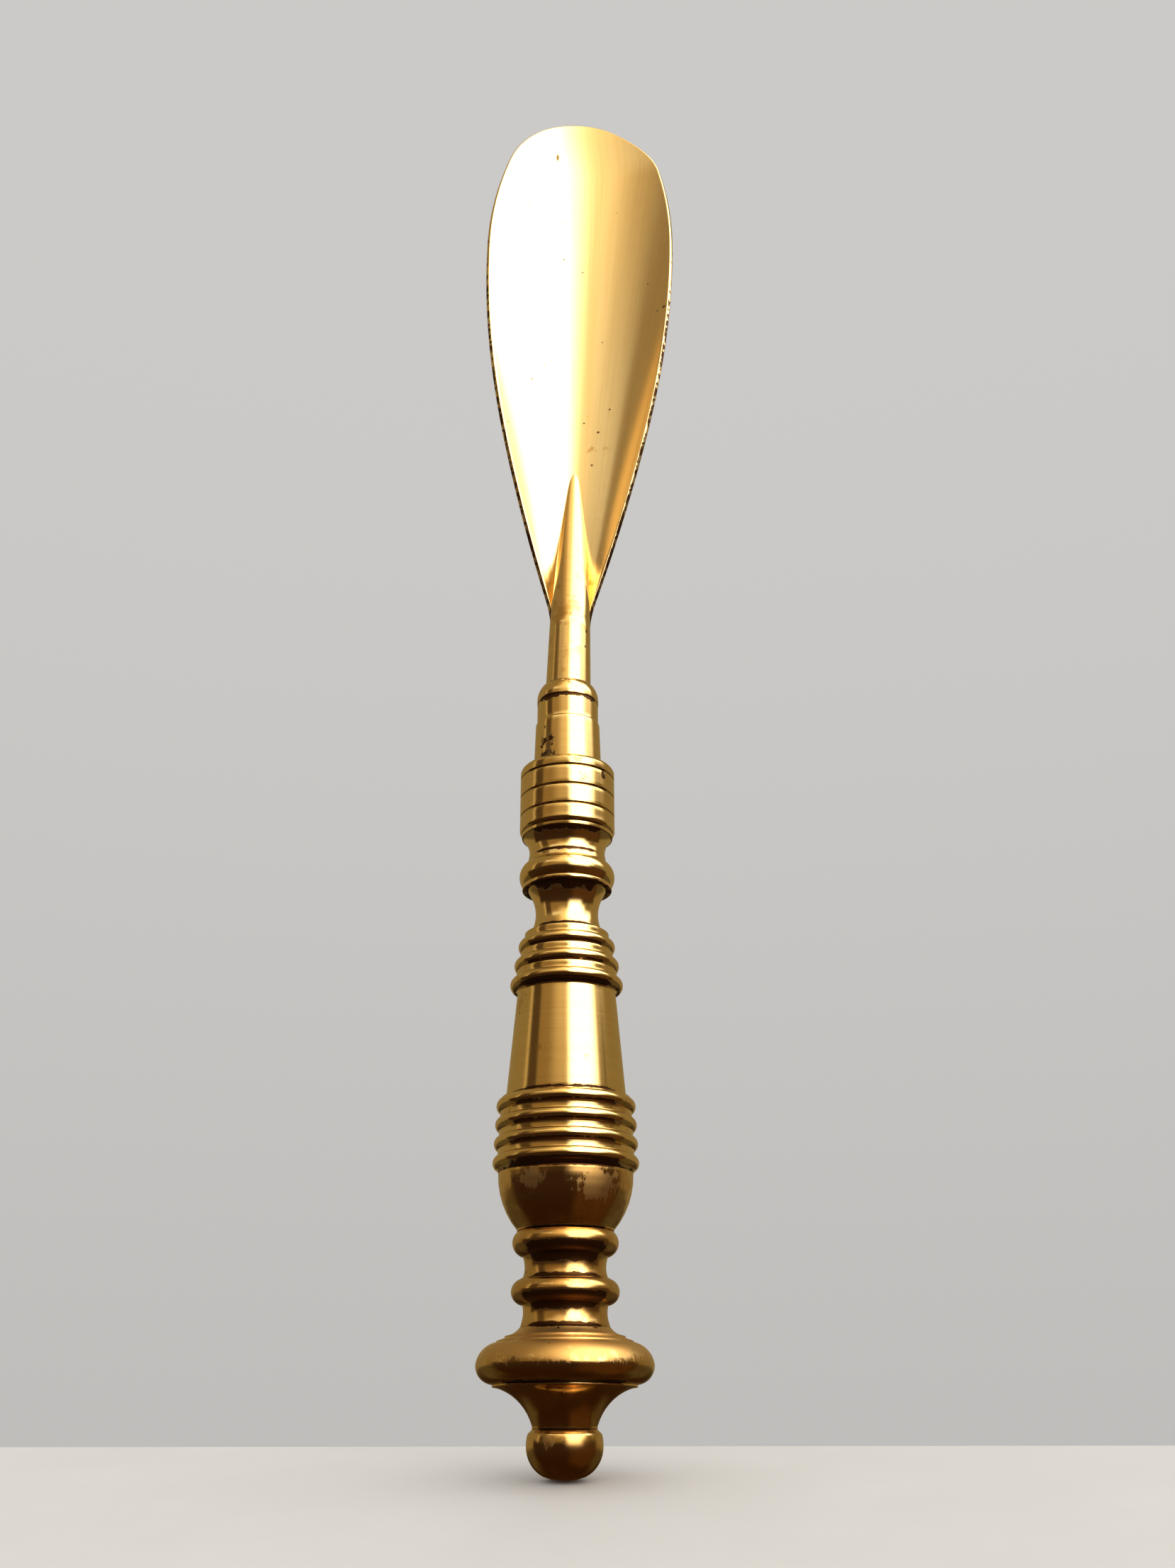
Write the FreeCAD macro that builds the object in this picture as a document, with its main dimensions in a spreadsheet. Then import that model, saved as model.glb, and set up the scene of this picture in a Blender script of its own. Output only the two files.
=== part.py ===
"""Long brass shoehorn with a turned handle, as a parametric FreeCAD document.

The blade is a sheet rolled to a cone and brazed to a tapered stem.  The handle is a stack of turned
brass sections that register in one another and are drawn together by a tie rod between the grooved
collar and the ball finial.  Frame: +Z up the handle axis from the ball to the blade, origin at the
centre of the small flat under the ball, hollow side of the blade towards -Y.  Lengths are in mm.
"""
import FreeCAD, Part
import math
import operator
import os
from types import SimpleNamespace

import Sketcher

# Driving dimensions: name, value, what it is.  Heights of a section are measured up from its lower face.
DIMENSIONS = [
    # Tie rod, registers and fits
    ("rod_radius", 2.5, "tie rod"),
    ("rod_clearance", 0.15, "radial gap between the tie rod and the bore of a section"),
    ("rod_end_gap", 1.2, "air between a rod end and the bottom of its hole"),
    ("register_radius", 4.0, "spigot on top of a section"),
    ("register_rise", 1.2, "height of that spigot"),
    ("register_clearance", 0.05, "radial gap round a spigot"),
    ("register_gap", 0.2, "air above a spigot"),
    # Ball finial
    ("ball_radius", 6.64, "ball at its equator"),
    ("ball_height", 7.8, "ball from its foot to its top face"),
    ("ball_equator", 5.2, "height of the equator"),
    ("foot_radius", 2.2, "flat under the ball"),
    ("ball_top_inset", 0.94, "top face inside the equator"),
    ("ball_chamfer", 0.45, "chamfer round the top face"),
    ("ball_thread_depth", 6.0, "blind hole for the tie rod"),
    # Trumpet foot
    ("trumpet_height", 7.2, "lower face to upper face"),
    ("trumpet_neck_radius", 5.65, "narrow end"),
    ("trumpet_neck_rise", 0.55, "straight part at the narrow end"),
    ("trumpet_mouth_radius", 12.2, "where the flare meets the rim"),
    ("trumpet_rim_radius", 12.65, "rim on the upper face"),
    ("trumpet_rim_rise", 0.45, "height of the rim"),
    ("trumpet_hollow", 1.2, "depth of the flare's curve below its chord"),
    # Pommel disc
    ("disc_height", 9.3, "lower face to upper face"),
    ("disc_radius", 15.6, "widest"),
    ("disc_equator", 3.1, "height of the widest place"),
    ("disc_under_radius", 12.6, "edge of the lower face"),
    ("disc_under_swell", 0.85, "curve of the underside"),
    ("disc_ledge_radius", 12.45, "edge above the rounded rim"),
    ("disc_ledge_height", 6.75, "height of that edge"),
    ("disc_over_swell", 0.75, "curve of the upper side"),
    ("disc_step_radius", 12.05, "small step inside the ledge"),
    ("disc_step_rise", 0.3, "height of the small step"),
    ("disc_second_step_radius", 10.6, "second step, on the cove"),
    ("disc_second_step_height", 7.55, "height of the second step"),
    ("disc_top_radius", 8.0, "upper face"),
    ("disc_cove", 0.3, "depth of the cove between second step and upper face"),
    # Ringed spools
    ("spool_lower_foot_radius", 7.95, "lower spool, lower face"),
    ("spool_lower_ring_swell", 1.85, "lower spool, how far its ring stands proud"),
    ("spool_lower_top_radius", 7.95, "lower spool, upper face"),
    ("spool_lower_top_rise", 0.1, "lower spool, straight part above its ring"),
    ("spool_upper_foot_radius", 7.6, "upper spool, lower face"),
    ("spool_upper_ring_swell", 1.45, "upper spool, how far its ring stands proud"),
    ("spool_upper_top_radius", 8.5, "upper spool, upper face"),
    ("spool_upper_top_rise", 0.05, "upper spool, straight part above its ring"),
    ("spool_foot_rise", 0.85, "flare at the foot of a spool"),
    ("spool_neck_drop", 0.25, "how far the neck is inside the foot"),
    ("spool_neck_hollow", 0.2, "curve of the neck"),
    ("spool_ring_start", 3.75, "height where the ring begins"),
    ("spool_ring_base_radius", 7.6, "radius where the ring begins"),
    ("spool_ring_height", 4.35, "height of the ring"),
    # Pommel bulb
    ("bulb_height", 10.05, "lower face to upper face"),
    ("bulb_foot_radius", 8.75, "lower face"),
    ("bulb_foot_rise", 0.25, "straight part above the lower face"),
    ("bulb_top_radius", 12.3, "upper face"),
    ("bulb_swell", 0.95, "curve of the side outside its chord"),
    # Lower reeded ring
    ("reed_base_radius", 12.15, "fillets between the lower reeds"),
    ("reed_pitch", 3.45, "one lower reed and its fillet"),
    ("reed_height", 2.35, "one lower reed"),
    ("reed_swell", 0.72, "how far a lower reed stands proud"),
    ("reed_growth", 0.17, "each lower reed is this much wider than the one above it"),
    ("reed_foot_rise", 0.7, "fillet under the lowest reed"),
    ("reed_top_rise", 0.3, "fillet above the highest reed"),
    ("reed_count", 4, "lower reeds"),
    # Tapered grip
    ("grip_height", 20.35, "lower face to upper face"),
    ("grip_lower_radius", 11.15, "grip at its lower end"),
    ("grip_upper_radius", 9.35, "grip under its upper cove"),
    ("grip_cove_rise", 0.6, "height of the upper cove"),
    ("grip_cove_flare", 0.3, "how far the upper cove flares"),
    ("grip_cove_hollow", 0.05, "curve of the upper cove"),
    # Upper reeded ring
    ("crown_foot_radius", 10.0, "lower face of the upper reeded ring"),
    ("crown_reed_height", 2.4, "one upper reed"),
    ("crown_reed_swell", 0.75, "how far an upper reed stands proud"),
    ("crown_fillet_height", 1.4, "fillet above an upper reed"),
    ("crown_fillet_inset", 0.42, "fillet inside the reed below it"),
    ("crown_step", 0.73, "each upper reed is this much narrower than the one below it"),
    ("crown_reed_count", 3, "upper reeds"),
    ("crown_top_radius", 6.8, "upper face"),
    ("crown_cap_swell", 0.12, "curve of the cap above the highest reed"),
    ("crown_cap_height", 0.65, "cap above the highest fillet"),
    # Waist spool
    ("waist_height", 8.3, "lower face to upper face"),
    ("waist_lower_radius", 6.8, "lower face"),
    ("waist_upper_radius", 7.7, "upper face"),
    ("waist_hollow", 1.15, "depth of the cove below its chord"),
    # Upper knop
    ("knop_height", 6.55, "lower face to upper face"),
    ("knop_fillet_radius", 8.75, "fillet under the bead"),
    ("knop_fillet_rise", 0.75, "height of the fillet"),
    ("knop_bead_lower_radius", 8.6, "bead where it leaves the fillet"),
    ("knop_bead_upper_radius", 8.2, "bead where it meets the top band"),
    ("knop_bead_swell", 0.92, "how far the bead stands outside its chord"),
    ("knop_band_radius", 7.75, "top band"),
    ("knop_band_rise", 1.35, "height of the top band"),
    ("knop_band_taper", 0.15, "top band narrows by this much"),
    # Grooved collar
    ("collar_radius", 9.42, "cylinder"),
    ("collar_foot_radius", 7.6, "lower face"),
    ("collar_cove_radius", 8.75, "top of the lower cove"),
    ("collar_cove_height", 4.4, "height of the lower cove"),
    ("collar_cove_hollow", 0.62, "depth of the lower cove"),
    ("collar_fillet_radius", 8.98, "fillet above the cove"),
    ("collar_fillet_rise", 0.7, "height of that fillet"),
    ("collar_undercut_rise", 1.1, "rounded edge above the fillet"),
    ("collar_undercut_swell", 0.16, "curve of the rounded edge"),
    ("collar_edge_round", 1.0, "rounding at the top"),
    ("collar_edge_swell", 0.16, "curve of that rounding"),
    ("groove_lead", 2.55, "foot of the cylinder to the lowest groove"),
    ("groove_pitch", 4.05, "from groove to groove"),
    ("groove_trail", 2.55, "highest groove to the upper face"),
    ("groove_width", 0.46, "mouth of a groove"),
    ("groove_depth", 0.28, "depth of a groove"),
    ("groove_count", 3, "grooves"),
    # Neck ferrule and stem collar
    ("ferrule_height", 14.6, "lower face to upper face"),
    ("ferrule_lower_radius", 6.8, "lower end"),
    ("ferrule_line_radius", 6.5, "just under the scribed line"),
    ("ferrule_line_height", 9.7, "height of the scribed line"),
    ("ferrule_line_width", 0.3, "width of the scribed line"),
    ("ferrule_upper_radius", 6.22, "upper end"),
    ("cap_height", 3.9, "stem collar"),
    ("cap_radius", 6.28, "stem collar at its lower edge"),
    ("cap_land", 0.9, "straight part of the stem collar"),
    ("cap_lip", 0.28, "width of the stem collar's upper face"),
    ("cap_swell", 0.3, "curve of the stem collar's shoulder"),
    ("cap_clearance", 0.15, "gap between stem collar and stem"),
    # Stem
    ("tang_step", 0.5, "tang in the grooved collar is this much thicker than the tie rod"),
    ("tang_clearance", 0.1, "gap between tang and ferrule"),
    ("tang_engagement", 8.0, "tang inside the grooved collar"),
    ("stem_root_radius", 4.72, "stem at the ferrule"),
    ("stem_shoulder_step", 0.42, "shoulder on the ferrule is this much thinner than the stem"),
    ("stem_shoulder_rise", 0.8, "height of that shoulder, half of it inside the shaft"),
    ("stem_taper", 0.45, "stem is this much thinner where the blade begins"),
    ("stem_heel_height", 18.5, "height of that place above the ferrule"),
    ("tail_middle_height", 20.0, "tail: from there to its middle"),
    ("tail_middle_radius", 3.1, "tail at its middle"),
    ("tail_tip_height", 25.0, "tail: from its middle to its tip"),
    ("tail_tip_radius", 0.35, "tail at its tip"),
    ("tail_sink", 0.5, "how far the tail's round back is dressed flat for the blade"),
    ("blade_lean", 1.18, "degrees that stem and blade lean towards +X"),
    # Blade
    ("sheet_thickness", 1.2, "blade sheet"),
    ("heel_rise", 0.9, "blade's lower edge above the place where it begins on the stem"),
    ("heel_half_width", 4.35, "half width of the lower edge"),
    ("heel_bend_radius", 6.0, "inside radius of the trough at the lower edge"),
    ("trough_spread", 0.28, "inside radius gained per unit of height"),
    ("trough_sweep", 150.0, "degrees of cone that the sheet is cut from"),
    ("root_rise", 7.0, "lower edge to root"),
    ("root_half_width", 5.5, "half width at the root"),
    ("throat_rise", 38.0, "root to throat"),
    ("throat_half_width", 15.9, "half width at the throat"),
    ("belly_rise", 55.0, "throat to belly"),
    ("belly_half_width", 21.9, "half width at the belly, the widest place"),
    ("shoulder_rise", 26.0, "belly to shoulder"),
    ("shoulder_half_width", 18.9, "half width at the shoulder"),
    ("crest_rise", 14.9, "shoulder to crest"),
    ("crest_half_width", 9.8, "half width at the crest"),
]
SHEET_NAME = "Sizes"
FULL_TURN = 360.0
ORIGIN = -1
H_AXIS = -1
V_AXIS = -2
EDGE_START = 1
EDGE_END = 2
CENTRE = 3
TRIM_MARGIN = 10.0


class Size:
    """A length known both as a number and as an expression on the spreadsheet."""

    def __init__(self, value, text):
        self.value = value
        self.text = text

    def __add__(self, other):
        return combine(self, "+", other)

    def __sub__(self, other):
        return combine(self, "-", other)

    def __mul__(self, other):
        return combine(self, "*", other)

    def __rmul__(self, other):
        return combine(other, "*", self)

    def __truediv__(self, other):
        return combine(self, "/", other)


OPERATORS = {"+": operator.add, "-": operator.sub, "*": operator.mul, "/": operator.truediv}


def as_size(value):
    return value if isinstance(value, Size) else Size(value, str(value))


def combine(left, sign, right):
    left, right = as_size(left), as_size(right)
    return Size(OPERATORS[sign](left.value, right.value), f"({left.text} {sign} {right.text})")


class Outline:
    """Closed outline in the (radius, height) half plane: straight edges and arcs."""

    def __init__(self, radius, height):
        self.points = [(as_size(radius), as_size(height))]
        self.radii = []

    def to(self, radius, height):
        """Straight edge to the next point."""
        self.points.append((as_size(radius), as_size(height)))
        self.radii.append(None)
        return self

    def arc(self, radius, height, rise, outward):
        """Arc to the next point, standing rise off its chord."""
        start_radius, start_height = self.points[-1]
        along = as_size(radius) - start_radius
        up = as_size(height) - start_height
        chord_squared = along * along + up * up
        arc_radius = (chord_squared / 4 + rise * rise) / (2 * rise)
        self.points.append((as_size(radius), as_size(height)))
        self.radii.append((arc_radius, outward))
        return self

    def bulge(self, radius, height, arc_radius):
        """Arc of known radius that bulges away from the axis."""
        self.points.append((as_size(radius), as_size(height)))
        self.radii.append((arc_radius, True))
        return self

    def swell(self, radius, height, rise):
        """Arc that bulges away from the axis."""
        return self.arc(radius, height, rise, True)

    def hollow(self, radius, height, depth):
        """Arc that bulges towards the axis."""
        return self.arc(radius, height, depth, False)

    def edges(self):
        """Start, end and arc radius of every edge, the closing one included."""
        ends = self.points[1:] + self.points[:1]
        return list(zip(self.points, ends, self.radii + [None]))


def make_sheet(document):
    sheet = document.addObject("Spreadsheet::Sheet", SHEET_NAME)
    for row, (name, value, note) in enumerate(DIMENSIONS, start=1):
        sheet.set(f"A{row}", name)
        sheet.set(f"B{row}", str(value))
        sheet.set(f"C{row}", note)
        sheet.setAlias(f"B{row}", name)
    document.recompute()
    return SimpleNamespace(
        **{name: Size(float(sheet.get(name)), f"{SHEET_NAME}.{name}") for name, _, _ in DIMENSIONS}
    )


def origin_plane(body, role):
    return next(item for item in body.Origin.OriginFeatures if item.Role == role)


def new_sketch(body, name, plane="XZ_Plane"):
    sketch = body.newObject("Sketcher::SketchObject", name)
    sketch.AttachmentSupport = [(origin_plane(body, plane), "")]
    sketch.MapMode = "FlatFace"
    return sketch


def bind(sketch, kind, places, size):
    """Add a dimension to the sketch and tie it to the spreadsheet."""
    index = sketch.addConstraint(Sketcher.Constraint(kind, *places, size.value))
    sketch.setExpression(f"Constraints[{index}]", size.text)


def hold_point(sketch, geometry, end, radius, height):
    """Fix a vertex by its distances from both axes."""
    if radius.value:
        bind(sketch, "DistanceX", (ORIGIN, EDGE_START, geometry, end), radius)
    else:
        sketch.addConstraint(Sketcher.Constraint("PointOnObject", geometry, end, V_AXIS))
    if height.value:
        bind(sketch, "DistanceY", (ORIGIN, EDGE_START, geometry, end), height)
    else:
        sketch.addConstraint(Sketcher.Constraint("PointOnObject", geometry, end, H_AXIS))


def arc_between(start, end, radius, clockwise):
    """Arc of less than half a turn from start to end; clockwise says which way it runs."""
    chord = end - start
    middle = (start + end) * 0.5
    reach = math.sqrt(radius ** 2 - (chord.Length / 2) ** 2)
    left = FreeCAD.Vector(-chord.y, chord.x, 0).normalize()
    centre = middle - left * reach if clockwise else middle + left * reach
    first, last = (end, start) if clockwise else (start, end)
    angles = [math.atan2(point.y - centre.y, point.x - centre.x) for point in (first, last)]
    if angles[1] < angles[0]:
        angles[1] += 2 * math.pi
    return Part.ArcOfCircle(Part.Circle(centre, FreeCAD.Vector(0, 0, 1), radius), *angles)


def draw(sketch, outline):
    """Draw an outline, fully constrained, with every dimension on the spreadsheet."""
    corners = []
    for start, end, curve in outline.edges():
        first = FreeCAD.Vector(start[0].value, start[1].value, 0)
        last = FreeCAD.Vector(end[0].value, end[1].value, 0)
        if curve is None:
            geometry = sketch.addGeometry(Part.LineSegment(first, last))
            corners.append((geometry, EDGE_START, EDGE_END))
        else:
            radius, outward = curve
            # An outline runs anticlockwise, so a bulge away from the axis turns left while it climbs.
            clockwise = not outward
            geometry = sketch.addGeometry(arc_between(first, last, radius.value, clockwise))
            ends = (EDGE_END, EDGE_START) if clockwise else (EDGE_START, EDGE_END)
            corners.append((geometry, *ends))
    for index, (geometry, start, end) in enumerate(corners):
        following, following_start, _ = corners[(index + 1) % len(corners)]
        sketch.addConstraint(
            Sketcher.Constraint("Coincident", geometry, end, following, following_start)
        )
        hold_point(sketch, geometry, start, *outline.points[index])
        curve = (outline.radii + [None])[index]
        if curve is not None:
            bind(sketch, "Radius", (geometry,), curve[0])


def revolve(body, sketch):
    feature = body.newObject("PartDesign::Revolution", f"{body.Name}_turning")
    feature.Profile = sketch
    feature.ReferenceAxis = (sketch, ["V_Axis"])
    feature.Angle = FULL_TURN
    return feature


def turned(document, name, outline, height=None):
    """A turned piece: one outline revolved about the handle axis and set at its height in the stack."""
    body = document.addObject("PartDesign::Body", name)
    sketch = new_sketch(body, f"{name}_outline")
    draw(sketch, outline)
    revolve(body, sketch)
    if height is not None:
        body.setExpression("Placement.Base.z", height.text)
    return body


def recessed_foot(s, foot_radius):
    """Start of a section's outline: rod bore, register recess and lower face."""
    bore = s.rod_radius + s.rod_clearance
    recess = s.register_radius + s.register_clearance
    depth = s.register_rise + s.register_gap
    return Outline(bore, depth).to(recess, depth).to(recess, 0).to(foot_radius, 0)


def spigot_top(s, outline, height):
    """End of a section's outline: upper face inwards to the spigot, and the spigot up to the bore."""
    top = height + s.register_rise
    outline.to(s.register_radius, height).to(s.register_radius, top)
    return outline.to(s.rod_radius + s.rod_clearance, top)


def upright_arc_radius(inset, climb):
    """Radius of an arc that is upright at the equator and comes in by inset over the climb."""
    return (inset * inset + climb * climb) / (2 * inset)


def ball_finial(s):
    """Ball with a small foot, an equator above its middle and a blind tapped hole."""
    floor = s.ball_height - s.ball_thread_depth
    top_radius = s.ball_radius - s.ball_top_inset
    edge_radius = top_radius + s.ball_chamfer
    edge_height = s.ball_height - s.ball_chamfer
    lower = upright_arc_radius(s.ball_radius - s.foot_radius, s.ball_equator)
    upper = upright_arc_radius(s.ball_radius - edge_radius, edge_height - s.ball_equator)
    outline = Outline(0, 0).to(s.foot_radius, 0)
    outline.bulge(s.ball_radius, s.ball_equator, lower)
    outline.bulge(edge_radius, edge_height, upper)
    outline.to(top_radius, s.ball_height)
    outline.to(s.rod_radius, s.ball_height).to(s.rod_radius, floor)
    return outline.to(0, floor)


def trumpet_foot(s):
    """Flared foot with a thin rim under the disc; its narrow end sits on the ball."""
    rim_start = s.trumpet_height - s.trumpet_rim_rise
    outline = Outline(s.rod_radius + s.rod_clearance, 0).to(s.trumpet_neck_radius, 0)
    outline.to(s.trumpet_neck_radius, s.trumpet_neck_rise)
    outline.hollow(s.trumpet_mouth_radius, rim_start, s.trumpet_hollow)
    outline.to(s.trumpet_rim_radius, rim_start).to(s.trumpet_rim_radius, s.trumpet_height)
    return spigot_top(s, outline, s.trumpet_height)


def pommel_disc(s):
    """Broad rounded disc with two fine steps and a cove above."""
    outline = recessed_foot(s, s.disc_under_radius)
    outline.swell(s.disc_radius, s.disc_equator, s.disc_under_swell)
    outline.swell(s.disc_ledge_radius, s.disc_ledge_height, s.disc_over_swell)
    outline.to(s.disc_step_radius, s.disc_ledge_height)
    outline.to(s.disc_step_radius, s.disc_ledge_height + s.disc_step_rise)
    outline.to(s.disc_second_step_radius, s.disc_second_step_height)
    outline.to(s.disc_second_step_radius, s.disc_second_step_height + s.disc_step_rise)
    outline.hollow(s.disc_top_radius, s.disc_height, s.disc_cove)
    return spigot_top(s, outline, s.disc_height)


def spool_height(s, top_rise):
    return s.spool_ring_start + s.spool_ring_height + top_rise


def ringed_spool(s, foot_radius, top_radius, ring_swell, top_rise):
    """Spool with a flared foot, a neck and one rounded ring."""
    neck = foot_radius - s.spool_neck_drop
    height = spool_height(s, top_rise)
    outline = recessed_foot(s, foot_radius).to(neck, s.spool_foot_rise)
    outline.hollow(s.spool_ring_base_radius, s.spool_ring_start, s.spool_neck_hollow)
    outline.swell(top_radius, height - top_rise, ring_swell).to(top_radius, height)
    return spigot_top(s, outline, height)


def pommel_bulb(s):
    """Bowl-shaped section that widens up to the reeds."""
    outline = recessed_foot(s, s.bulb_foot_radius)
    outline.to(s.bulb_foot_radius, s.bulb_foot_rise)
    outline.swell(s.bulb_top_radius, s.bulb_height, s.bulb_swell)
    return spigot_top(s, outline, s.bulb_height)


def lower_reeds_height(s):
    fillets = (s.reed_count - 1) * s.reed_pitch
    return s.reed_foot_rise + fillets + s.reed_height + s.reed_top_rise


def lower_reeded_ring(s):
    """Ring of equal half-round reeds, each a little wider than the one above."""
    outline = recessed_foot(s, s.reed_base_radius)
    base = s.reed_base_radius + (s.reed_count - 1) * s.reed_growth
    start = s.reed_foot_rise
    for _ in range(int(s.reed_count.value)):
        outline.to(base, start)
        outline.swell(base, start + s.reed_height, s.reed_swell)
        base = base - s.reed_growth
        outline.to(base, start + s.reed_height)
        start = start + s.reed_pitch
    outline.to(base, lower_reeds_height(s))
    return spigot_top(s, outline, lower_reeds_height(s))


def tapered_grip(s):
    """Straight tapered barrel that flares into a small cove at its top."""
    outline = recessed_foot(s, s.grip_lower_radius)
    outline.to(s.grip_upper_radius, s.grip_height - s.grip_cove_rise)
    flared = s.grip_upper_radius + s.grip_cove_flare
    outline.hollow(flared, s.grip_height, s.grip_cove_hollow)
    return spigot_top(s, outline, s.grip_height)


def upper_reeds_height(s):
    reeds = s.crown_reed_count * (s.crown_reed_height + s.crown_fillet_height)
    return reeds + s.crown_cap_height


def upper_reeded_ring(s):
    """Three reeds that step in as they climb, under a coved cap."""
    outline = recessed_foot(s, s.crown_foot_radius)
    start = Size(0.0, "0")
    base = s.crown_foot_radius
    for reed in range(int(s.crown_reed_count.value)):
        if reed:
            outline.to(base, start)
        outline.swell(base, start + s.crown_reed_height, s.crown_reed_swell)
        start = start + s.crown_reed_height
        fillet = base - s.crown_fillet_inset
        outline.to(fillet, start)
        start = start + s.crown_fillet_height
        outline.to(fillet, start)
        base = base - s.crown_step
    outline.hollow(s.crown_top_radius, upper_reeds_height(s), s.crown_cap_swell)
    return spigot_top(s, outline, upper_reeds_height(s))


def waist_spool(s):
    """Hollow-sided spool, the narrowest part of the handle."""
    outline = recessed_foot(s, s.waist_lower_radius)
    outline.hollow(s.waist_upper_radius, s.waist_height, s.waist_hollow)
    return spigot_top(s, outline, s.waist_height)


def upper_knop(s):
    """Bead between a fillet and a narrow band."""
    band_start = s.knop_height - s.knop_band_rise
    outline = recessed_foot(s, s.knop_fillet_radius)
    outline.to(s.knop_fillet_radius, s.knop_fillet_rise)
    outline.to(s.knop_bead_lower_radius, s.knop_fillet_rise)
    outline.swell(s.knop_bead_upper_radius, band_start, s.knop_bead_swell)
    outline.to(s.knop_band_radius, band_start)
    outline.to(s.knop_band_radius - s.knop_band_taper, s.knop_height)
    return spigot_top(s, outline, s.knop_height)


def tang_radius(s):
    return s.rod_radius + s.tang_step


def groove_start(s):
    """Height of the lowest groove."""
    cylinder_start = s.collar_cove_height + s.collar_fillet_rise + s.collar_undercut_rise
    return cylinder_start + s.groove_lead


def collar_height(s):
    return groove_start(s) + (s.groove_count - 1) * s.groove_pitch + s.groove_trail


def tang_floor(s):
    """Height in the grooved collar where the tang's hole ends and the rod's begins."""
    return collar_height(s) - s.tang_engagement - s.rod_end_gap


def grooved_collar(s):
    """Collar with a cove and fillet below, scribed grooves round it and tapped holes from both ends."""
    height = collar_height(s)
    depth = s.register_rise + s.register_gap
    recess = s.register_radius + s.register_clearance
    outline = Outline(s.rod_radius, depth).to(recess, depth).to(recess, 0)
    outline.to(s.collar_foot_radius, 0)
    outline.hollow(s.collar_cove_radius, s.collar_cove_height, s.collar_cove_hollow)
    outline.to(s.collar_fillet_radius, s.collar_cove_height)
    fillet_top = s.collar_cove_height + s.collar_fillet_rise
    outline.to(s.collar_fillet_radius, fillet_top)
    cylinder_start = fillet_top + s.collar_undercut_rise
    outline.swell(s.collar_radius, cylinder_start, s.collar_undercut_swell)
    for groove in range(int(s.groove_count.value)):
        middle = groove_start(s) + groove * s.groove_pitch
        outline.to(s.collar_radius, middle - s.groove_width / 2)
        outline.to(s.collar_radius - s.groove_depth, middle)
        outline.to(s.collar_radius, middle + s.groove_width / 2)
    outline.to(s.collar_radius, height - s.collar_edge_round)
    outline.swell(s.collar_radius - s.collar_edge_round, height, s.collar_edge_swell)
    outline.to(tang_radius(s), height).to(tang_radius(s), tang_floor(s))
    return outline.to(s.rod_radius, tang_floor(s))


def neck_ferrule(s):
    """Tube over the tang, with one scribed line."""
    line_top = s.ferrule_line_height + s.ferrule_line_width
    bore = tang_radius(s) + s.tang_clearance
    outline = Outline(bore, 0).to(s.ferrule_lower_radius, 0)
    outline.to(s.ferrule_line_radius, s.ferrule_line_height)
    outline.to(s.ferrule_upper_radius, line_top)
    outline.to(s.ferrule_upper_radius, s.ferrule_height)
    return outline.to(bore, s.ferrule_height)


def stem_collar(s):
    """Bevelled collar over the root of the stem, standing on the ferrule."""
    bore = s.stem_root_radius + s.cap_clearance
    outline = Outline(bore, 0).to(s.cap_radius, 0).to(s.cap_radius, s.cap_land)
    outline.swell(bore + s.cap_lip, s.cap_height, s.cap_swell)
    return outline.to(bore, s.cap_height)


def stem_heel_radius(s):
    """Radius of the stem where the blade begins."""
    return s.stem_root_radius - s.stem_taper


def stem_tang(s):
    """Lower end of the stem: threaded tang and the shoulder that stands on the ferrule."""
    lower_end = (s.ferrule_height + s.tang_engagement) * -1
    shoulder = s.stem_root_radius - s.stem_shoulder_step
    outline = Outline(0, lower_end).to(tang_radius(s), lower_end).to(tang_radius(s), 0)
    outline.to(shoulder, 0).to(shoulder, s.stem_shoulder_rise)
    return outline.to(0, s.stem_shoulder_rise)


def stem_shaft(s):
    """Tapered rod between the shoulder and the blade's lower edge."""
    start = s.stem_shoulder_rise / 2
    outline = Outline(0, start).to(s.stem_root_radius, start)
    return outline.to(stem_heel_radius(s), s.stem_heel_height).to(0, s.stem_heel_height)


def circle_section(body, name, centre, height, radius):
    """Circle in a level plane of the body, its centre on the Y axis."""
    sketch = new_sketch(body, name, "XY_Plane")
    sketch.setExpression("AttachmentOffset.Base.z", height.text)
    middle = FreeCAD.Vector(0, centre.value, 0)
    circle = Part.Circle(middle, FreeCAD.Vector(0, 0, 1), radius.value)
    geometry = sketch.addGeometry(circle)
    hold_point(sketch, geometry, CENTRE, as_size(0), centre)
    bind(sketch, "Radius", (geometry,), radius)
    return sketch


def add_tail(body, s):
    """Tail of the stem: round sections that shrink towards the blade's hollow side."""
    middle = s.stem_heel_height + s.tail_middle_height
    tip = middle + s.tail_tip_height
    stations = [
        (s.stem_heel_height, stem_heel_radius(s)),
        (middle, s.tail_middle_radius),
        (tip, s.tail_tip_radius),
    ]
    sections = [
        circle_section(body, f"tail_section_{index}", stem_heel_radius(s) - radius, height, radius)
        for index, (height, radius) in enumerate(stations)
    ]
    loft = body.newObject("PartDesign::AdditiveLoft", "tail_loft")
    loft.Profile = sections[0]
    loft.Sections = sections[1:]


def lean(feature, s, pivot):
    """Stand a feature on the ferrule and lean it towards +X."""
    feature.Placement = FreeCAD.Placement(
        FreeCAD.Vector(0, 0, pivot.value),
        FreeCAD.Rotation(FreeCAD.Vector(0, 1, 0), s.blade_lean.value),
    )
    feature.setExpression("Placement.Base.z", pivot.text)
    feature.setExpression("Placement.Rotation.Angle", f"{s.blade_lean.text} * 1 deg")


def heel_height(s):
    """Height of the blade's lower edge above the ferrule."""
    return s.stem_heel_height + s.heel_rise


def blade_top(s):
    """Height above the ferrule that the sheet is rolled to, past the tip."""
    rises = s.root_rise + s.throat_rise + s.belly_rise + s.shoulder_rise + s.crest_rise
    return heel_height(s) + rises + s.crest_half_width


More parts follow.
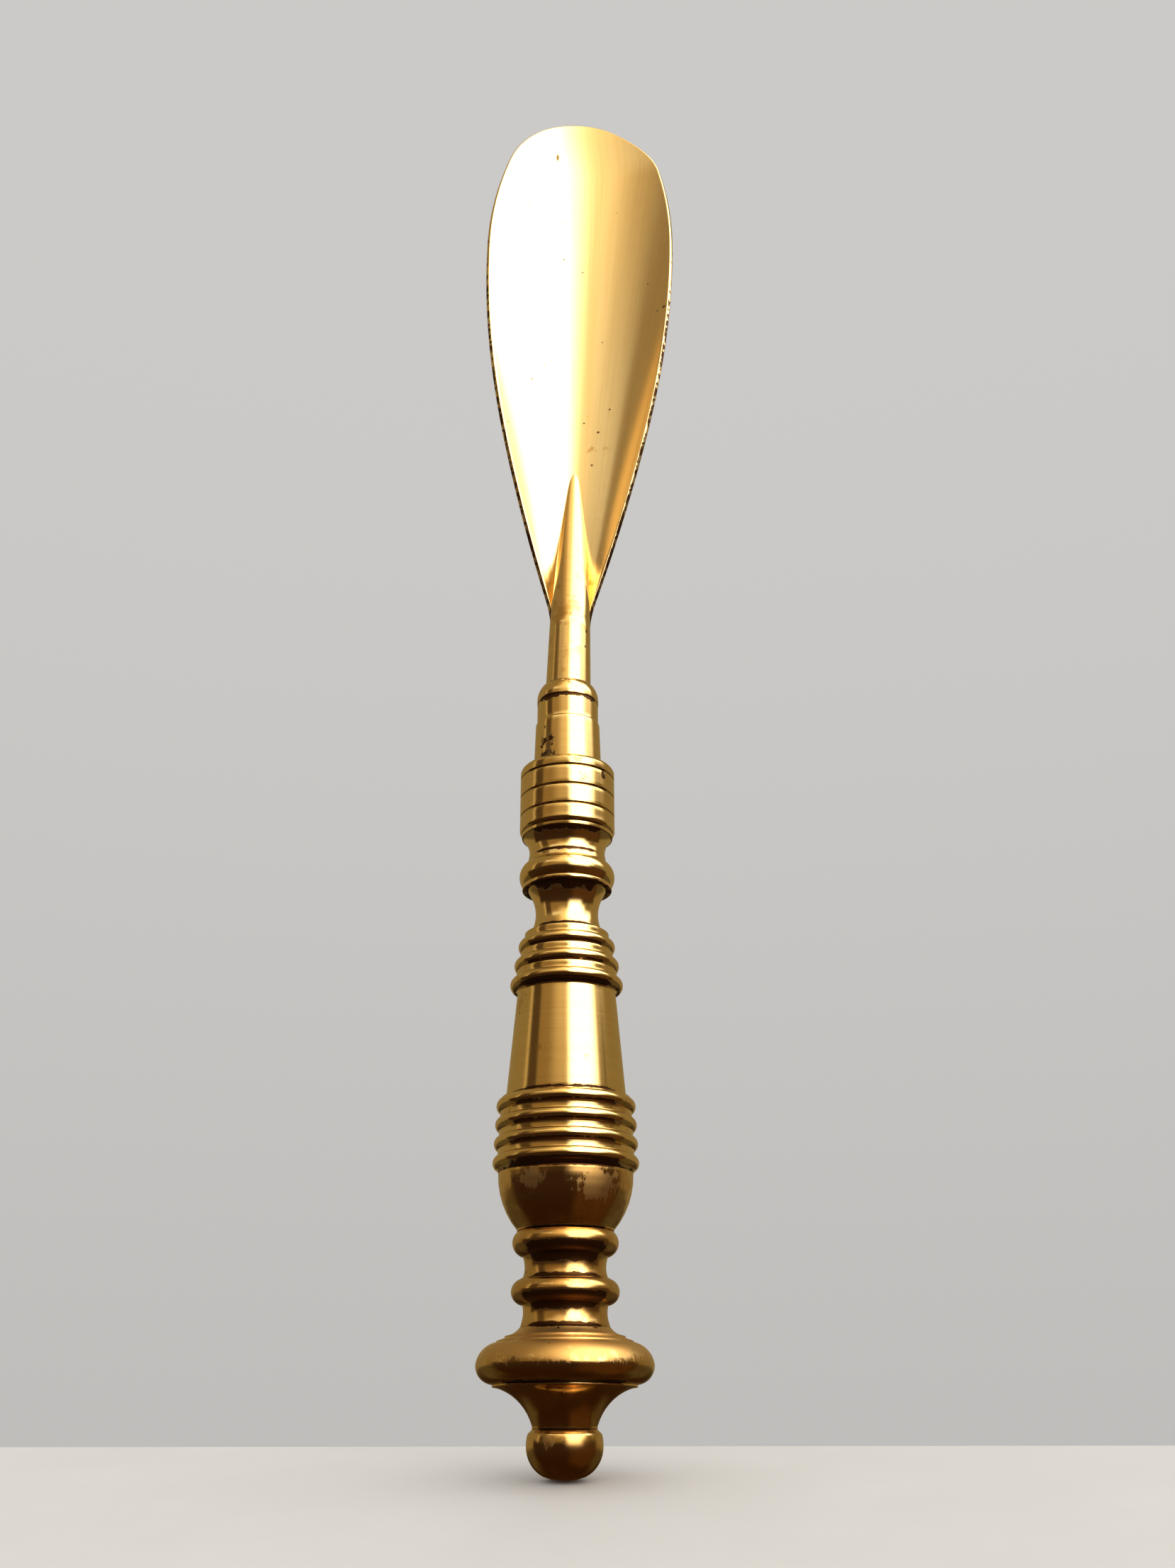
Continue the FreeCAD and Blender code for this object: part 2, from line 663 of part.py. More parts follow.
def trough(document, s, name, thickness):
    """Sheet rolled to a cone: a strip beside a sloping axis, swept part of the way round it."""
    body = document.addObject("PartDesign::Body", name)
    sketch = new_sketch(body, f"{name}_strip", "YZ_Plane")
    inner = stem_heel_radius(s) - s.tail_sink
    outer = inner + thickness
    low = heel_height(s)
    high = blade_top(s)
    corners = [(inner, low), (outer, low), (outer, high), (inner, high)]
    for index, start in enumerate(corners):
        end = corners[(index + 1) % len(corners)]
        line = sketch.addGeometry(
            Part.LineSegment(
                FreeCAD.Vector(start[0].value, start[1].value, 0),
                FreeCAD.Vector(end[0].value, end[1].value, 0),
            )
        )
        hold_point(sketch, line, EDGE_START, *start)
    for line in range(len(corners)):
        following = (line + 1) % len(corners)
        sketch.addConstraint(
            Sketcher.Constraint("Coincident", line, EDGE_END, following, EDGE_START)
        )
    axis_foot = (inner - s.heel_bend_radius, low)
    axis_top = (inner - s.heel_bend_radius - s.trough_spread * (high - low), high)
    axis = sketch.addGeometry(
        Part.LineSegment(
            FreeCAD.Vector(axis_foot[0].value, axis_foot[1].value, 0),
            FreeCAD.Vector(axis_top[0].value, axis_top[1].value, 0),
        ),
        True,
    )
    hold_point(sketch, axis, EDGE_START, *axis_foot)
    hold_point(sketch, axis, EDGE_END, *axis_top)
    shell = body.newObject("PartDesign::Revolution", f"{name}_rolling")
    shell.Profile = sketch
    shell.ReferenceAxis = (sketch, ["Axis0"])
    shell.Midplane = True
    shell.setExpression("Angle", s.trough_sweep.text)
    return body, shell


def tangent_arc(start, direction, end):
    """Arc that leaves start along direction and reaches end; also its direction there."""
    chord = end - start
    normal = FreeCAD.Vector(-direction.y, direction.x, 0)
    radius = chord.Length ** 2 / (2 * chord.dot(normal))
    arc = arc_between(start, end, abs(radius), clockwise=radius < 0)
    turn = 2 * math.atan2(direction.cross(chord).z, direction.dot(chord))
    rotation = FreeCAD.Rotation(FreeCAD.Vector(0, 0, 1), math.degrees(turn))
    return arc, rotation.multVec(direction), radius < 0


def chain(sketch, stations, direction):
    """Tangent arcs through the stations; the first leaves along direction and its start is left free."""
    arcs = []
    points = [FreeCAD.Vector(x.value, z.value, 0) for x, z in stations]
    for start, end in zip(points[:-1], points[1:]):
        arc, direction, clockwise = tangent_arc(start, direction, end)
        geometry = sketch.addGeometry(arc)
        arcs.append((geometry, *((EDGE_END, EDGE_START) if clockwise else (EDGE_START, EDGE_END))))
    for (geometry, start, end), station in zip(arcs, stations[1:]):
        hold_point(sketch, geometry, end, *station)
    first, first_start, _ = arcs[0]
    sketch.addConstraint(Sketcher.Constraint("Horizontal", first, CENTRE, first, first_start))
    for (before, _, before_end), (after, after_start, _) in zip(arcs[:-1], arcs[1:]):
        sketch.addConstraint(
            Sketcher.Constraint("Tangent", before, before_end, after, after_start)
        )
    return arcs, direction


def trim_blade(body, s):
    """Cut the sheet to the blade's outline: one side drawn, the other mirrored."""
    sketch = new_sketch(body, "blade_trim")
    heel = (s.heel_half_width, heel_height(s))
    root = (s.root_half_width, heel[1] + s.root_rise)
    throat = (s.throat_half_width, root[1] + s.throat_rise)
    belly = (s.belly_half_width, throat[1] + s.belly_rise)
    shoulder = (s.shoulder_half_width, belly[1] + s.shoulder_rise)
    crest = (s.crest_half_width, shoulder[1] + s.crest_rise)
    upright = FreeCAD.Vector(0, 1, 0)
    rising, heading = chain(sketch, [belly, shoulder, crest], upright)
    falling, _ = chain(sketch, [belly, throat, root, heel], upright * -1)
    # The tip arc runs on from the crest to the middle line, where it is level.
    corner = FreeCAD.Vector(crest[0].value, crest[1].value, 0)
    normal = FreeCAD.Vector(-heading.y, heading.x, 0)
    tip_radius = corner.x / -normal.x
    middle = corner + normal * tip_radius
    tip = middle + FreeCAD.Vector(0, tip_radius, 0)
    tip_arc = sketch.addGeometry(arc_between(corner, tip, tip_radius, clockwise=False))
    last, _, last_end = rising[-1]
    sketch.addConstraint(Sketcher.Constraint("Tangent", last, last_end, tip_arc, EDGE_START))
    sketch.addConstraint(Sketcher.Constraint("PointOnObject", tip_arc, CENTRE, V_AXIS))
    sketch.addConstraint(Sketcher.Constraint("PointOnObject", tip_arc, EDGE_END, V_AXIS))
    # Waste outside the outline, taken past the sheet on every side.
    far = s.heel_bend_radius + s.trough_spread * (blade_top(s) - heel[1]) + TRIM_MARGIN
    above = blade_top(s) + TRIM_MARGIN
    below = heel[1] - TRIM_MARGIN
    waste = [(as_size(0), above), (far, above), (far, below), (s.heel_half_width, below)]
    points = [tip] + [FreeCAD.Vector(x.value, z.value, 0) for x, z in waste]
    points.append(FreeCAD.Vector(heel[0].value, heel[1].value, 0))
    lines = [
        sketch.addGeometry(Part.LineSegment(start, end))
        for start, end in zip(points[:-1], points[1:])
    ]
    for line, corner_size in zip(lines, waste):
        hold_point(sketch, line, EDGE_END, *corner_size)
    for before, after in zip(lines[:-1], lines[1:]):
        sketch.addConstraint(
            Sketcher.Constraint("Coincident", before, EDGE_END, after, EDGE_START)
        )
    sketch.addConstraint(
        Sketcher.Constraint("Coincident", tip_arc, EDGE_END, lines[0], EDGE_START)
    )
    foot, _, foot_end = falling[-1]
    sketch.addConstraint(Sketcher.Constraint("Coincident", foot, foot_end, lines[-1], EDGE_END))
    first_rising, rising_start, _ = rising[0]
    first_falling, falling_start, _ = falling[0]
    hold_point(sketch, first_rising, rising_start, *belly)
    sketch.addConstraint(
        Sketcher.Constraint(
            "Coincident", first_rising, rising_start, first_falling, falling_start
        )
    )
    pocket = body.newObject("PartDesign::Pocket", "blade_trimming")
    pocket.Profile = sketch
    pocket.Type = "ThroughAll"
    pocket.SideType = "Symmetric"
    mirrored = body.newObject("PartDesign::Mirrored", "blade_other_side")
    mirrored.Originals = [pocket]
    mirrored.MirrorPlane = (sketch, ["V_Axis"])
    body.Tip = mirrored


def stack(s):
    """Turned sections from the ball up: name, outline and height."""
    lower_spool = ringed_spool(
        s,
        s.spool_lower_foot_radius,
        s.spool_lower_top_radius,
        s.spool_lower_ring_swell,
        s.spool_lower_top_rise,
    )
    upper_spool = ringed_spool(
        s,
        s.spool_upper_foot_radius,
        s.spool_upper_top_radius,
        s.spool_upper_ring_swell,
        s.spool_upper_top_rise,
    )
    return [
        ("ball_finial", ball_finial(s), s.ball_height),
        ("trumpet_foot", trumpet_foot(s), s.trumpet_height),
        ("pommel_disc", pommel_disc(s), s.disc_height),
        ("lower_ring_spool", lower_spool, spool_height(s, s.spool_lower_top_rise)),
        ("upper_ring_spool", upper_spool, spool_height(s, s.spool_upper_top_rise)),
        ("pommel_bulb", pommel_bulb(s), s.bulb_height),
        ("lower_reeded_ring", lower_reeded_ring(s), lower_reeds_height(s)),
        ("tapered_grip", tapered_grip(s), s.grip_height),
        ("upper_reeded_ring", upper_reeded_ring(s), upper_reeds_height(s)),
        ("waist_spool", waist_spool(s), s.waist_height),
        ("upper_knop", upper_knop(s), s.knop_height),
        ("grooved_collar", grooved_collar(s), collar_height(s)),
        ("neck_ferrule", neck_ferrule(s), s.ferrule_height),
    ]


def tie_rod(document, s, collar_foot):
    """Steel rod between the ball's blind hole and the grooved collar."""
    foot = s.ball_height - s.ball_thread_depth + s.rod_end_gap
    rod = document.addObject("Part::Cylinder", "tie_rod")
    rod.setExpression("Radius", s.rod_radius.text)
    top = collar_foot + tang_floor(s) - s.rod_end_gap
    rod.setExpression("Height", (top - foot).text)
    rod.setExpression("Placement.Base.z", foot.text)
    return rod


def stem(document, s, pivot):
    """Tang, leaning shaft and tail as one piece, its back dressed to the inside of the blade."""
    lower = turned(document, "stem_lower", stem_tang(s), pivot)
    upper = turned(document, "stem_upper", stem_shaft(s))
    add_tail(upper, s)
    lean(upper, s, pivot)
    seat, _ = trough(document, s, "blade_seat", stem_heel_radius(s))
    lean(seat, s, pivot)
    whole = document.addObject("Part::Fuse", "stem_whole")
    whole.Base = lower
    whole.Tool = upper
    dressed = document.addObject("Part::Cut", "stem")
    dressed.Base = whole
    dressed.Tool = seat
    return dressed


def blade(document, s, pivot):
    body, shell = trough(document, s, "blade", s.sheet_thickness)
    trim_blade(body, s)
    lean(body, s, pivot)
    return body, shell


def check(document, pieces):
    """Stop on any failed object, and on any piece that is not one closed valid solid."""
    for item in document.Objects:
        if "Invalid" in item.State or "Error" in item.State:
            raise RuntimeError(f"{item.Name} failed: {item.State}")
    for piece in pieces:
        shape = piece.Shape
        if shape.isNull() or not shape.isValid() or len(shape.Solids) != 1:
            raise RuntimeError(f"{piece.Label} is not one valid solid")


def main():
    document = FreeCAD.newDocument("long_shoehorn")
    s = make_sheet(document)
    pieces = []
    height = Size(0.0, "0")
    for name, outline, rise in stack(s):
        if name == "grooved_collar":
            collar_foot = height
        pieces.append(turned(document, name, outline, height))
        height = height + rise
    pieces.append(turned(document, "stem_collar", stem_collar(s), height))
    pieces.append(tie_rod(document, s, collar_foot))
    pieces.append(stem(document, s, height))
    body, shell = blade(document, s, height)
    pieces.append(body)
    document.recompute()
    check(document, pieces)
    if body.Shape.Volume >= shell.Shape.Volume:
        raise RuntimeError("the blade was not trimmed")
    os.makedirs("parts", exist_ok=True)
    for piece in pieces:
        piece.Label = piece.Name
        piece.Shape.exportStep(os.path.join("parts", f"{piece.Label}.step"))
        print(f"{piece.Label}: {piece.Shape.Volume:.1f} mm3")


main()
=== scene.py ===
"""Looks of a long brass shoehorn: turned handle sections, a tapered stem and a hollow sheet blade.

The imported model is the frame. Every visible piece is modelled again here with smooth turned faces and
worn edges, in the same place, and given a procedural finish. Sizes of a piece are millimetres; the
scene is in metres.
"""
import logging
import math
from collections.abc import Sequence
from dataclasses import dataclass, field
from enum import Enum

import bpy
import numpy as np
from mathutils import Matrix, Vector


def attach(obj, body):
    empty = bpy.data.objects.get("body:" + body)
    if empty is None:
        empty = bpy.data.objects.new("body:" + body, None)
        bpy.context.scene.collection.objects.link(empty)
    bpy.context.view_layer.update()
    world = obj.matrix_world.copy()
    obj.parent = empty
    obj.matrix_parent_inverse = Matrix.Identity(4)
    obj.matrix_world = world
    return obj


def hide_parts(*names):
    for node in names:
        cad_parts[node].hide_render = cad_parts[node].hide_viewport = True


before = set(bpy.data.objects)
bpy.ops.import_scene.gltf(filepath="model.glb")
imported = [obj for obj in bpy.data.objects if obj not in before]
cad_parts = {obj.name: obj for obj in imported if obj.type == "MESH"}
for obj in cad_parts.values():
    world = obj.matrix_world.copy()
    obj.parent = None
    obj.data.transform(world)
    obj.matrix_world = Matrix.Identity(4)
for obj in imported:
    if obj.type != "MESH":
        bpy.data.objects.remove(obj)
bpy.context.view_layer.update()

LOG = logging.getLogger("shoehorn")

MM = 0.001
BODY = "root"
TURN_STEPS = 144
ARC_STEP = math.radians(7)
SHORTEST_ARC = 4
SHOULDER_STEPS = 10
BALL_STEPS = 12
EDGE_WEAR = 0.09
LONGEST_EDGE = 0.8
EASE_SHARE = 0.35
SHARP_TURN = math.radians(18)
SMOOTH_ANGLE = math.radians(32)
MERGE = 2e-7
TINY = 1e-6

Colour = tuple[float, float, float]
Point = tuple[float, float]


# ---------------------------------------------------------------- shader maths


class Value:
    """A socket of a node tree that Python expressions can be written on."""

    def __init__(self, tree: "Tree", socket: bpy.types.NodeSocket) -> None:
        """Wrap one output socket."""
        self.tree = tree
        self.socket = socket

    def __add__(self, other: "Value | float") -> "Value":
        """Sum."""
        return self.tree.maths("ADD", self, other)

    def __sub__(self, other: "Value | float") -> "Value":
        """Difference."""
        return self.tree.maths("SUBTRACT", self, other)

    def __rsub__(self, other: float) -> "Value":
        """Difference with the number on the left."""
        return self.tree.maths("SUBTRACT", other, self)

    def __mul__(self, other: "Value | float") -> "Value":
        """Product."""
        return self.tree.maths("MULTIPLY", self, other)

    def __truediv__(self, other: "Value | float") -> "Value":
        """Quotient."""
        return self.tree.maths("DIVIDE", self, other)

    def __pow__(self, other: "Value | float") -> "Value":
        """Power."""
        return self.tree.maths("POWER", self, other)

    __radd__ = __add__
    __rmul__ = __mul__


class Tree:
    """One node tree and the few kinds of node that the finishes need."""

    def __init__(self, nodes: bpy.types.NodeTree) -> None:
        """Start from an empty tree."""
        self.nodes = nodes
        nodes.nodes.clear()

    def node(self, kind: str, settings: dict | None = None, sockets: dict | None = None) -> bpy.types.Node:
        """Add a node.

        Args:
            kind: The node's type.
            settings: Its own settings, which are set first.
            sockets: Value or link of each input, by name or index.

        Returns:
            The new node.
        """
        made = self.nodes.nodes.new(kind)
        for name, setting in (settings or {}).items():
            setattr(made, name, setting)
        for name, value in (sockets or {}).items():
            if isinstance(value, Value):
                self.nodes.links.new(value.socket, made.inputs[name])
            elif isinstance(value, tuple) and made.inputs[name].type == "RGBA":
                made.inputs[name].default_value = (*value, 1.0)
            else:
                made.inputs[name].default_value = value
        return made

    def out(self, node: bpy.types.Node, output: str | int = 0) -> Value:
        """An output of a node as a value."""
        return Value(self, node.outputs[output])

    def maths(self, operation: str, *values: Value | float) -> Value:
        """A Math node on one to three values."""
        sockets = dict(enumerate(values))
        return self.out(self.node("ShaderNodeMath", {"operation": operation}, sockets))

    def smooth(self, value: Value, low: float, high: float) -> Value:
        """0 below low, 1 above high, eased between; low may be above high."""
        flipped = low > high
        sockets = {0: value, 1: min(low, high), 2: max(low, high), 3: float(flipped), 4: float(not flipped)}
        return self.out(self.node("ShaderNodeMapRange", {"interpolation_type": "SMOOTHSTEP"}, sockets))

    def mix(self, factor: Value | float, start: Value | Colour, end: Value | Colour) -> Value:
        """Blend of two colours."""
        node = self.node("ShaderNodeMix", {"data_type": "RGBA"}, {0: factor, 6: start, 7: end})
        return self.out(node, 2)

    def blend(self, factor: Value, start: Value | float, end: Value | float) -> Value:
        """Blend of two numbers."""
        return self.out(self.node("ShaderNodeMix", {"data_type": "FLOAT"}, {0: factor, 2: start, 3: end}))

    def position(self) -> Value:
        """Object coordinates."""
        return self.out(self.node("ShaderNodeTexCoord"), "Object")

    def parts(self, vector: Value) -> tuple[Value, Value, Value]:
        """The three numbers of a vector."""
        node = self.node("ShaderNodeSeparateXYZ", None, {0: vector})
        return tuple(self.out(node, axis) for axis in range(3))

    def vector(self, x: Value | float, y: Value | float, z: Value | float) -> Value:
        """A vector from three numbers."""
        return self.out(self.node("ShaderNodeCombineXYZ", None, {0: x, 1: y, 2: z}))

    def cells(self, at: Value, scale: float) -> Value:
        """Distance to the nearest of scattered points."""
        return self.out(self.node("ShaderNodeTexVoronoi", None, {"Vector": at, "Scale": scale}))

    def attribute(self, mark: "Mark") -> Value:
        """A number stored on the mesh."""
        settings = {"attribute_name": mark.value, "attribute_type": "GEOMETRY"}
        return self.out(self.node("ShaderNodeAttribute", settings), "Fac")

    def bump(self, height: Value, strength: float, distance: float) -> Value:
        """A normal from a height."""
        sockets = {"Height": height, "Strength": strength, "Distance": distance}
        return self.out(self.node("ShaderNodeBump", None, sockets))


# ---------------------------------------------------------------- finishes


class Mark(str, Enum):
    """Names of the numbers stored on a mesh for its finish; one that is not stored counts as 0."""

    # On the handle, tarnish in hollows and painted shade under overhangs; on stem and blade, tarnish by the
    # joints.
    CREVICE = "crevice"
    SEAM = "seam"
    # Painted shade on faces that look down.
    UNDER = "under"
    # Real stains, and painted shade on the ring fronts and the blade's rim.
    STAIN = "stain"
    DULL = "dull"
    LANE = "lane"
    ALONG = "along"


@dataclass(frozen=True)
class Texture:
    """Noise drawn out along its axes.

    Attributes:
        scale: Features per metre along each axis.
        detail: Number of finer layers.
        roughness: Strength of the finer layers.
        share: Its part in a sum of textures.
        seed: A number that tells it from its neighbours.
    """

    scale: tuple[float, float, float]
    detail: float = 4.0
    roughness: float = 0.6
    share: float = 1.0
    seed: float = 0.0

    def on(self, tree: Tree, *place: Value | float) -> Value:
        """The noise at the three numbers of a place."""
        scaled = [number * scale for number, scale in zip(place, self.scale)]
        sockets = {"Vector": tree.vector(*scaled), "Scale": 1.0}
        sockets |= {"Detail": self.detail, "Roughness": self.roughness}
        return tree.out(tree.node("ShaderNodeTexNoise", None, sockets))


def even(scale: float) -> tuple[float, float, float]:
    """The same scale along every axis."""
    return (scale, scale, scale)


CLOUD = Texture(even(95.0))
MOTTLE = Texture(even(420.0))
RAGGED = Texture(even(900.0), 5.0, 0.65)
DRIPS = Texture((520.0, 520.0, 130.0), 3.0, 0.55)
SPECK = Texture((1500.0, 1500.0, 800.0))
DRAWN = Texture((2600.0, 2600.0, 40.0), 3.0)
FILM = Texture(even(210.0))
BOARD_GRAIN = Texture(even(30.0))


class Grain(Enum):
    """Which way the tool marks of a surface run, and the textures that make them."""

    ROUND = (
        Texture(even(900.0), 4.0, 0.6, share=0.5),
        Texture(even(4200.0), 2.0, 0.6, share=0.5, seed=5.0),
    )
    LENGTHWISE = (
        Texture((14.0, 14.0, 1.0), 2.0, 0.5, share=0.35, seed=7.0),
        Texture((70.0, 22.0, 1.0), 4.0, 0.66, share=0.4),
        Texture((340.0, 40.0, 1.0), 3.0, 0.6, share=0.25, seed=3.0),
    )


@dataclass(frozen=True)
class WearAndShade:
    """How wear shows on brass, and the shade painted on it; an edge is where it starts and where it is
    full.
    """

    dirt_and_shade_edge: Point = (0.47, 0.62)
    seam_share: float = 1.5
    stain_and_shade_share: float = 0.75
    ragged_share: float = 0.45
    ragged_stain_and_shade: float = 1.6
    drip_share: float = 0.9
    dirt_and_shade_roughness: float = 0.38
    dirt_and_shade_dulls: float = 0.12
    mottle_in_patina: float = 0.4
    patina_start: float = 0.75
    patina_gain: float = 0.5
    patina_width: float = 0.07
    patina_tint: float = 0.75
    patina_roughness: float = 0.07
    streak_edge: Point = (0.42, 0.62)
    pit_spacing: float = 240.0
    pit_edge: Point = (0.075, 0.045)
    pitted_edge: Point = (0.5, 0.6)
    pit_tint: float = 0.85
    pit_roughness: float = 0.2
    dull_edge: Point = (0.5, 0.7)
    dull_mottle: float = 1.2
    dull_speck: float = 1.6
    dull_roughness: float = 0.22
    mottle_roughness: float = 0.05
    line_height: float = 0.7
    mottle_height: float = 0.15
    pit_depth: float = 0.1
    relief: float = 0.00006


WEAR_AND_SHADE = WearAndShade()


@dataclass(frozen=True)
class Spot:
    """Small dark pit in a sheet.

    Attributes:
        x: Its place across, in metres.
        z: Its height, in metres.
        radius: Its radius, in metres.
        slender: How many times taller than wide it is.
        core: Share of the radius that is fully dark.
    """

    x: float
    z: float
    radius: float
    slender: float = 1.0
    core: float = 0.45

    def mask(self, tree: Tree, x: Value, z: Value) -> Value:
        """1 inside the pit and 0 outside."""
        across, up = x - self.x, (z - self.z) / self.slender
        distance = (across * across + up * up) ** 0.5
        return tree.smooth(distance, self.radius, self.radius * self.core)


@dataclass(frozen=True)
class Finish:
    """A procedural material.

    Attributes:
        name: Name of the material.
    """

    name: str

    def sockets(self, tree: Tree) -> dict[str, Value | float]:
        """What feeds the shader."""
        raise NotImplementedError

    def dress(self) -> bpy.types.Material:
        """Build the material."""
        made = bpy.data.materials.new(self.name)
        made.use_nodes = True
        tree = Tree(made.node_tree)
        shader = tree.node("ShaderNodeBsdfPrincipled", None, self.sockets(tree))
        tree.node("ShaderNodeOutputMaterial", None, {0: tree.out(shader)})
        return made


@dataclass(frozen=True)
class Brass(Finish):
    """Polished brass with patina, tool marks, dark tarnish in its crevices and painted shade in its
    crevices and on its downward faces.

    Attributes:
        clean: Colour of bare metal.
        warm: Colour under a thin patina.
        tarnish: Colour of the dark tarnish, also given to the painted shade.
        patina: Share of the surface under patina, 0 to 1.
        soil_and_shade: How far tarnish spreads from seams, and tarnish and painted shade from crevices.
        underside: How dark the downward faces are painted, as painted shade and a painted reflection of the
            dark surroundings below.
        polish: Roughness of bare metal.
        grain: Which way the tool marks run.
        grain_depth: Strength of the tool marks.
        streaks: How far long streaks of patina tint the metal, 0 to 1.
        spots: Small dark pits in it.
    """

    clean: Colour = (0.87, 0.62, 0.27)
    warm: Colour = (0.62, 0.36, 0.11)
    tarnish: Colour = (0.062, 0.022, 0.004)
    patina: float = 0.35
    soil_and_shade: float = 0.52
    underside: float = 0.62
    polish: float = 0.14
    grain: Grain = Grain.ROUND
    grain_depth: float = 0.10
    streaks: float = 0.18
    spots: tuple[Spot, ...] = ()

    def lines(self, tree: Tree, x: Value, y: Value, z: Value) -> Value:
        """Fine tool marks, as a height: noise drawn out along the marks."""
        if self.grain is Grain.LENGTHWISE:
            lane, along = tree.attribute(Mark.LANE), tree.attribute(Mark.ALONG)
            return sum(line.on(tree, lane, along, line.seed) * line.share for line in self.grain.value)
        radius = (x * x + y * y) ** 0.5
        return sum(line.on(tree, radius, line.seed, z) * line.share for line in self.grain.value)

    def dirt_and_shade(self, tree: Tree, *place: Value) -> Value:
        """Where dark tarnish and stains lie and where shade is painted, 0 to 1, with ragged edges."""
        stain = tree.attribute(Mark.STAIN)
        amount = tree.attribute(Mark.CREVICE) * self.soil_and_shade + stain * WEAR_AND_SHADE.stain_and_shade_share
        amount = amount + tree.attribute(Mark.SEAM) * (self.soil_and_shade * WEAR_AND_SHADE.seam_share)
        amount = amount + tree.attribute(Mark.UNDER) * self.underside
        ragged = (RAGGED.on(tree, *place) - 0.5) * (stain * WEAR_AND_SHADE.ragged_stain_and_shade + WEAR_AND_SHADE.ragged_share)
        drips = (DRIPS.on(tree, *place) - 0.5) * WEAR_AND_SHADE.drip_share
        return tree.smooth(amount + ragged + drips, *WEAR_AND_SHADE.dirt_and_shade_edge)

    def pits(self, tree: Tree, cloud: Value, x: Value, y: Value, z: Value) -> Value:
        """Small dark pits, scattered ones and the placed ones."""
        scattered = tree.cells(tree.vector(x, y, z), WEAR_AND_SHADE.pit_spacing)
        pits = tree.smooth(scattered, *WEAR_AND_SHADE.pit_edge) * tree.smooth(cloud, *WEAR_AND_SHADE.pitted_edge)
        for spot in self.spots:
            pits = tree.maths("MAXIMUM", pits, spot.mask(tree, x, z))
        return pits

    def sockets(self, tree: Tree) -> dict[str, Value | float]:
        """Colour, metal, roughness and relief."""
        place = tree.parts(tree.position())
        lines = self.lines(tree, *place)
        cloud, mottle, speck = (texture.on(tree, *place) for texture in (CLOUD, MOTTLE, SPECK))
        thin = WEAR_AND_SHADE.patina_start - self.patina * WEAR_AND_SHADE.patina_gain
        spread = cloud * (1.0 - WEAR_AND_SHADE.mottle_in_patina) + mottle * WEAR_AND_SHADE.mottle_in_patina
        patina = tree.smooth(spread, thin, thin + WEAR_AND_SHADE.patina_width)
        dirt_and_shade = self.dirt_and_shade(tree, *place)
        pits = self.pits(tree, cloud, *place)
        worn = tree.mix(patina * WEAR_AND_SHADE.patina_tint, self.clean, self.warm)
        worn = tree.mix(tree.smooth(lines, *WEAR_AND_SHADE.streak_edge) * self.streaks, worn, self.warm)
        worn = tree.mix(pits * WEAR_AND_SHADE.pit_tint, worn, self.tarnish)
        dull = tree.attribute(Mark.DULL) + (mottle - 0.5) * WEAR_AND_SHADE.dull_mottle
        dull = tree.smooth(dull + (speck - 0.5) * WEAR_AND_SHADE.dull_speck, *WEAR_AND_SHADE.dull_edge)
        rough = self.polish + patina * WEAR_AND_SHADE.patina_roughness + (mottle - 0.5) * WEAR_AND_SHADE.mottle_roughness
        rough = rough + pits * WEAR_AND_SHADE.pit_roughness + dull * WEAR_AND_SHADE.dull_roughness
        height = lines * WEAR_AND_SHADE.line_height + mottle * WEAR_AND_SHADE.mottle_height + (1.0 - pits) * WEAR_AND_SHADE.pit_depth
        # Tarnish and painted shade: the same dark colour, less metal and more roughness.
        return {
            "Base Color": tree.mix(dirt_and_shade, worn, self.tarnish),
            "Metallic": 1.0 - dirt_and_shade * WEAR_AND_SHADE.dirt_and_shade_dulls,
            "Roughness": tree.blend(dirt_and_shade, rough, WEAR_AND_SHADE.dirt_and_shade_roughness),
            "Normal": tree.bump(height, self.grain_depth, WEAR_AND_SHADE.relief),
        }


@dataclass(frozen=True)
class Steel(Finish):
    """Plain drawn steel rod with a thin brown film.

    Attributes:
        bright: Colour of bare metal.
        film: Colour of the film.
        film_edge: Noise at which the film starts and at which it is full.
        film_tint: How far the film tints the metal.
        film_roughness: Roughness that it adds.
        polish: Roughness of bare metal.
        grain: Roughness that the drawing marks add.
        grain_depth: Strength of those marks.
        relief: Their height, in metres.
    """

    bright: Colour = (0.56, 0.55, 0.53)
    film: Colour = (0.28, 0.20, 0.13)
    film_edge: Point = (0.45, 0.7)
    film_tint: float = 0.7
    film_roughness: float = 0.2
    polish: float = 0.32
    grain: float = 0.1
    grain_depth: float = 0.2
    relief: float = 0.00004

    def sockets(self, tree: Tree) -> dict[str, Value | float]:
        """Colour, metal, roughness and relief."""
        place = tree.parts(tree.position())
        drawn = DRAWN.on(tree, *place)
        film = tree.smooth(FILM.on(tree, *place), *self.film_edge)
        return {
            "Base Color": tree.mix(film * self.film_tint, self.bright, self.film),
            "Metallic": 1.0,
            "Roughness": self.polish + film * self.film_roughness + (drawn - 0.5) * self.grain,
            "Normal": tree.bump(drawn, self.grain_depth, self.relief),
        }


@dataclass(frozen=True)
class Board(Finish):
    """Pale floor board, a little uneven.

    Attributes:
        dark: Its darker colour.
        light: Its lighter colour.
        polish: Its least roughness.
        grain: Roughness that its grain adds.
    """

    dark: Colour = (0.74, 0.72, 0.69)
    light: Colour = (0.80, 0.78, 0.75)
    polish: float = 0.6
    grain: float = 0.1

    def sockets(self, tree: Tree) -> dict[str, Value | float]:
        """Colour and roughness."""
        grain = BOARD_GRAIN.on(tree, *tree.parts(tree.position()))
        rough = self.polish + grain * self.grain
        return {"Base Color": tree.mix(grain, self.dark, self.light), "Roughness": rough}


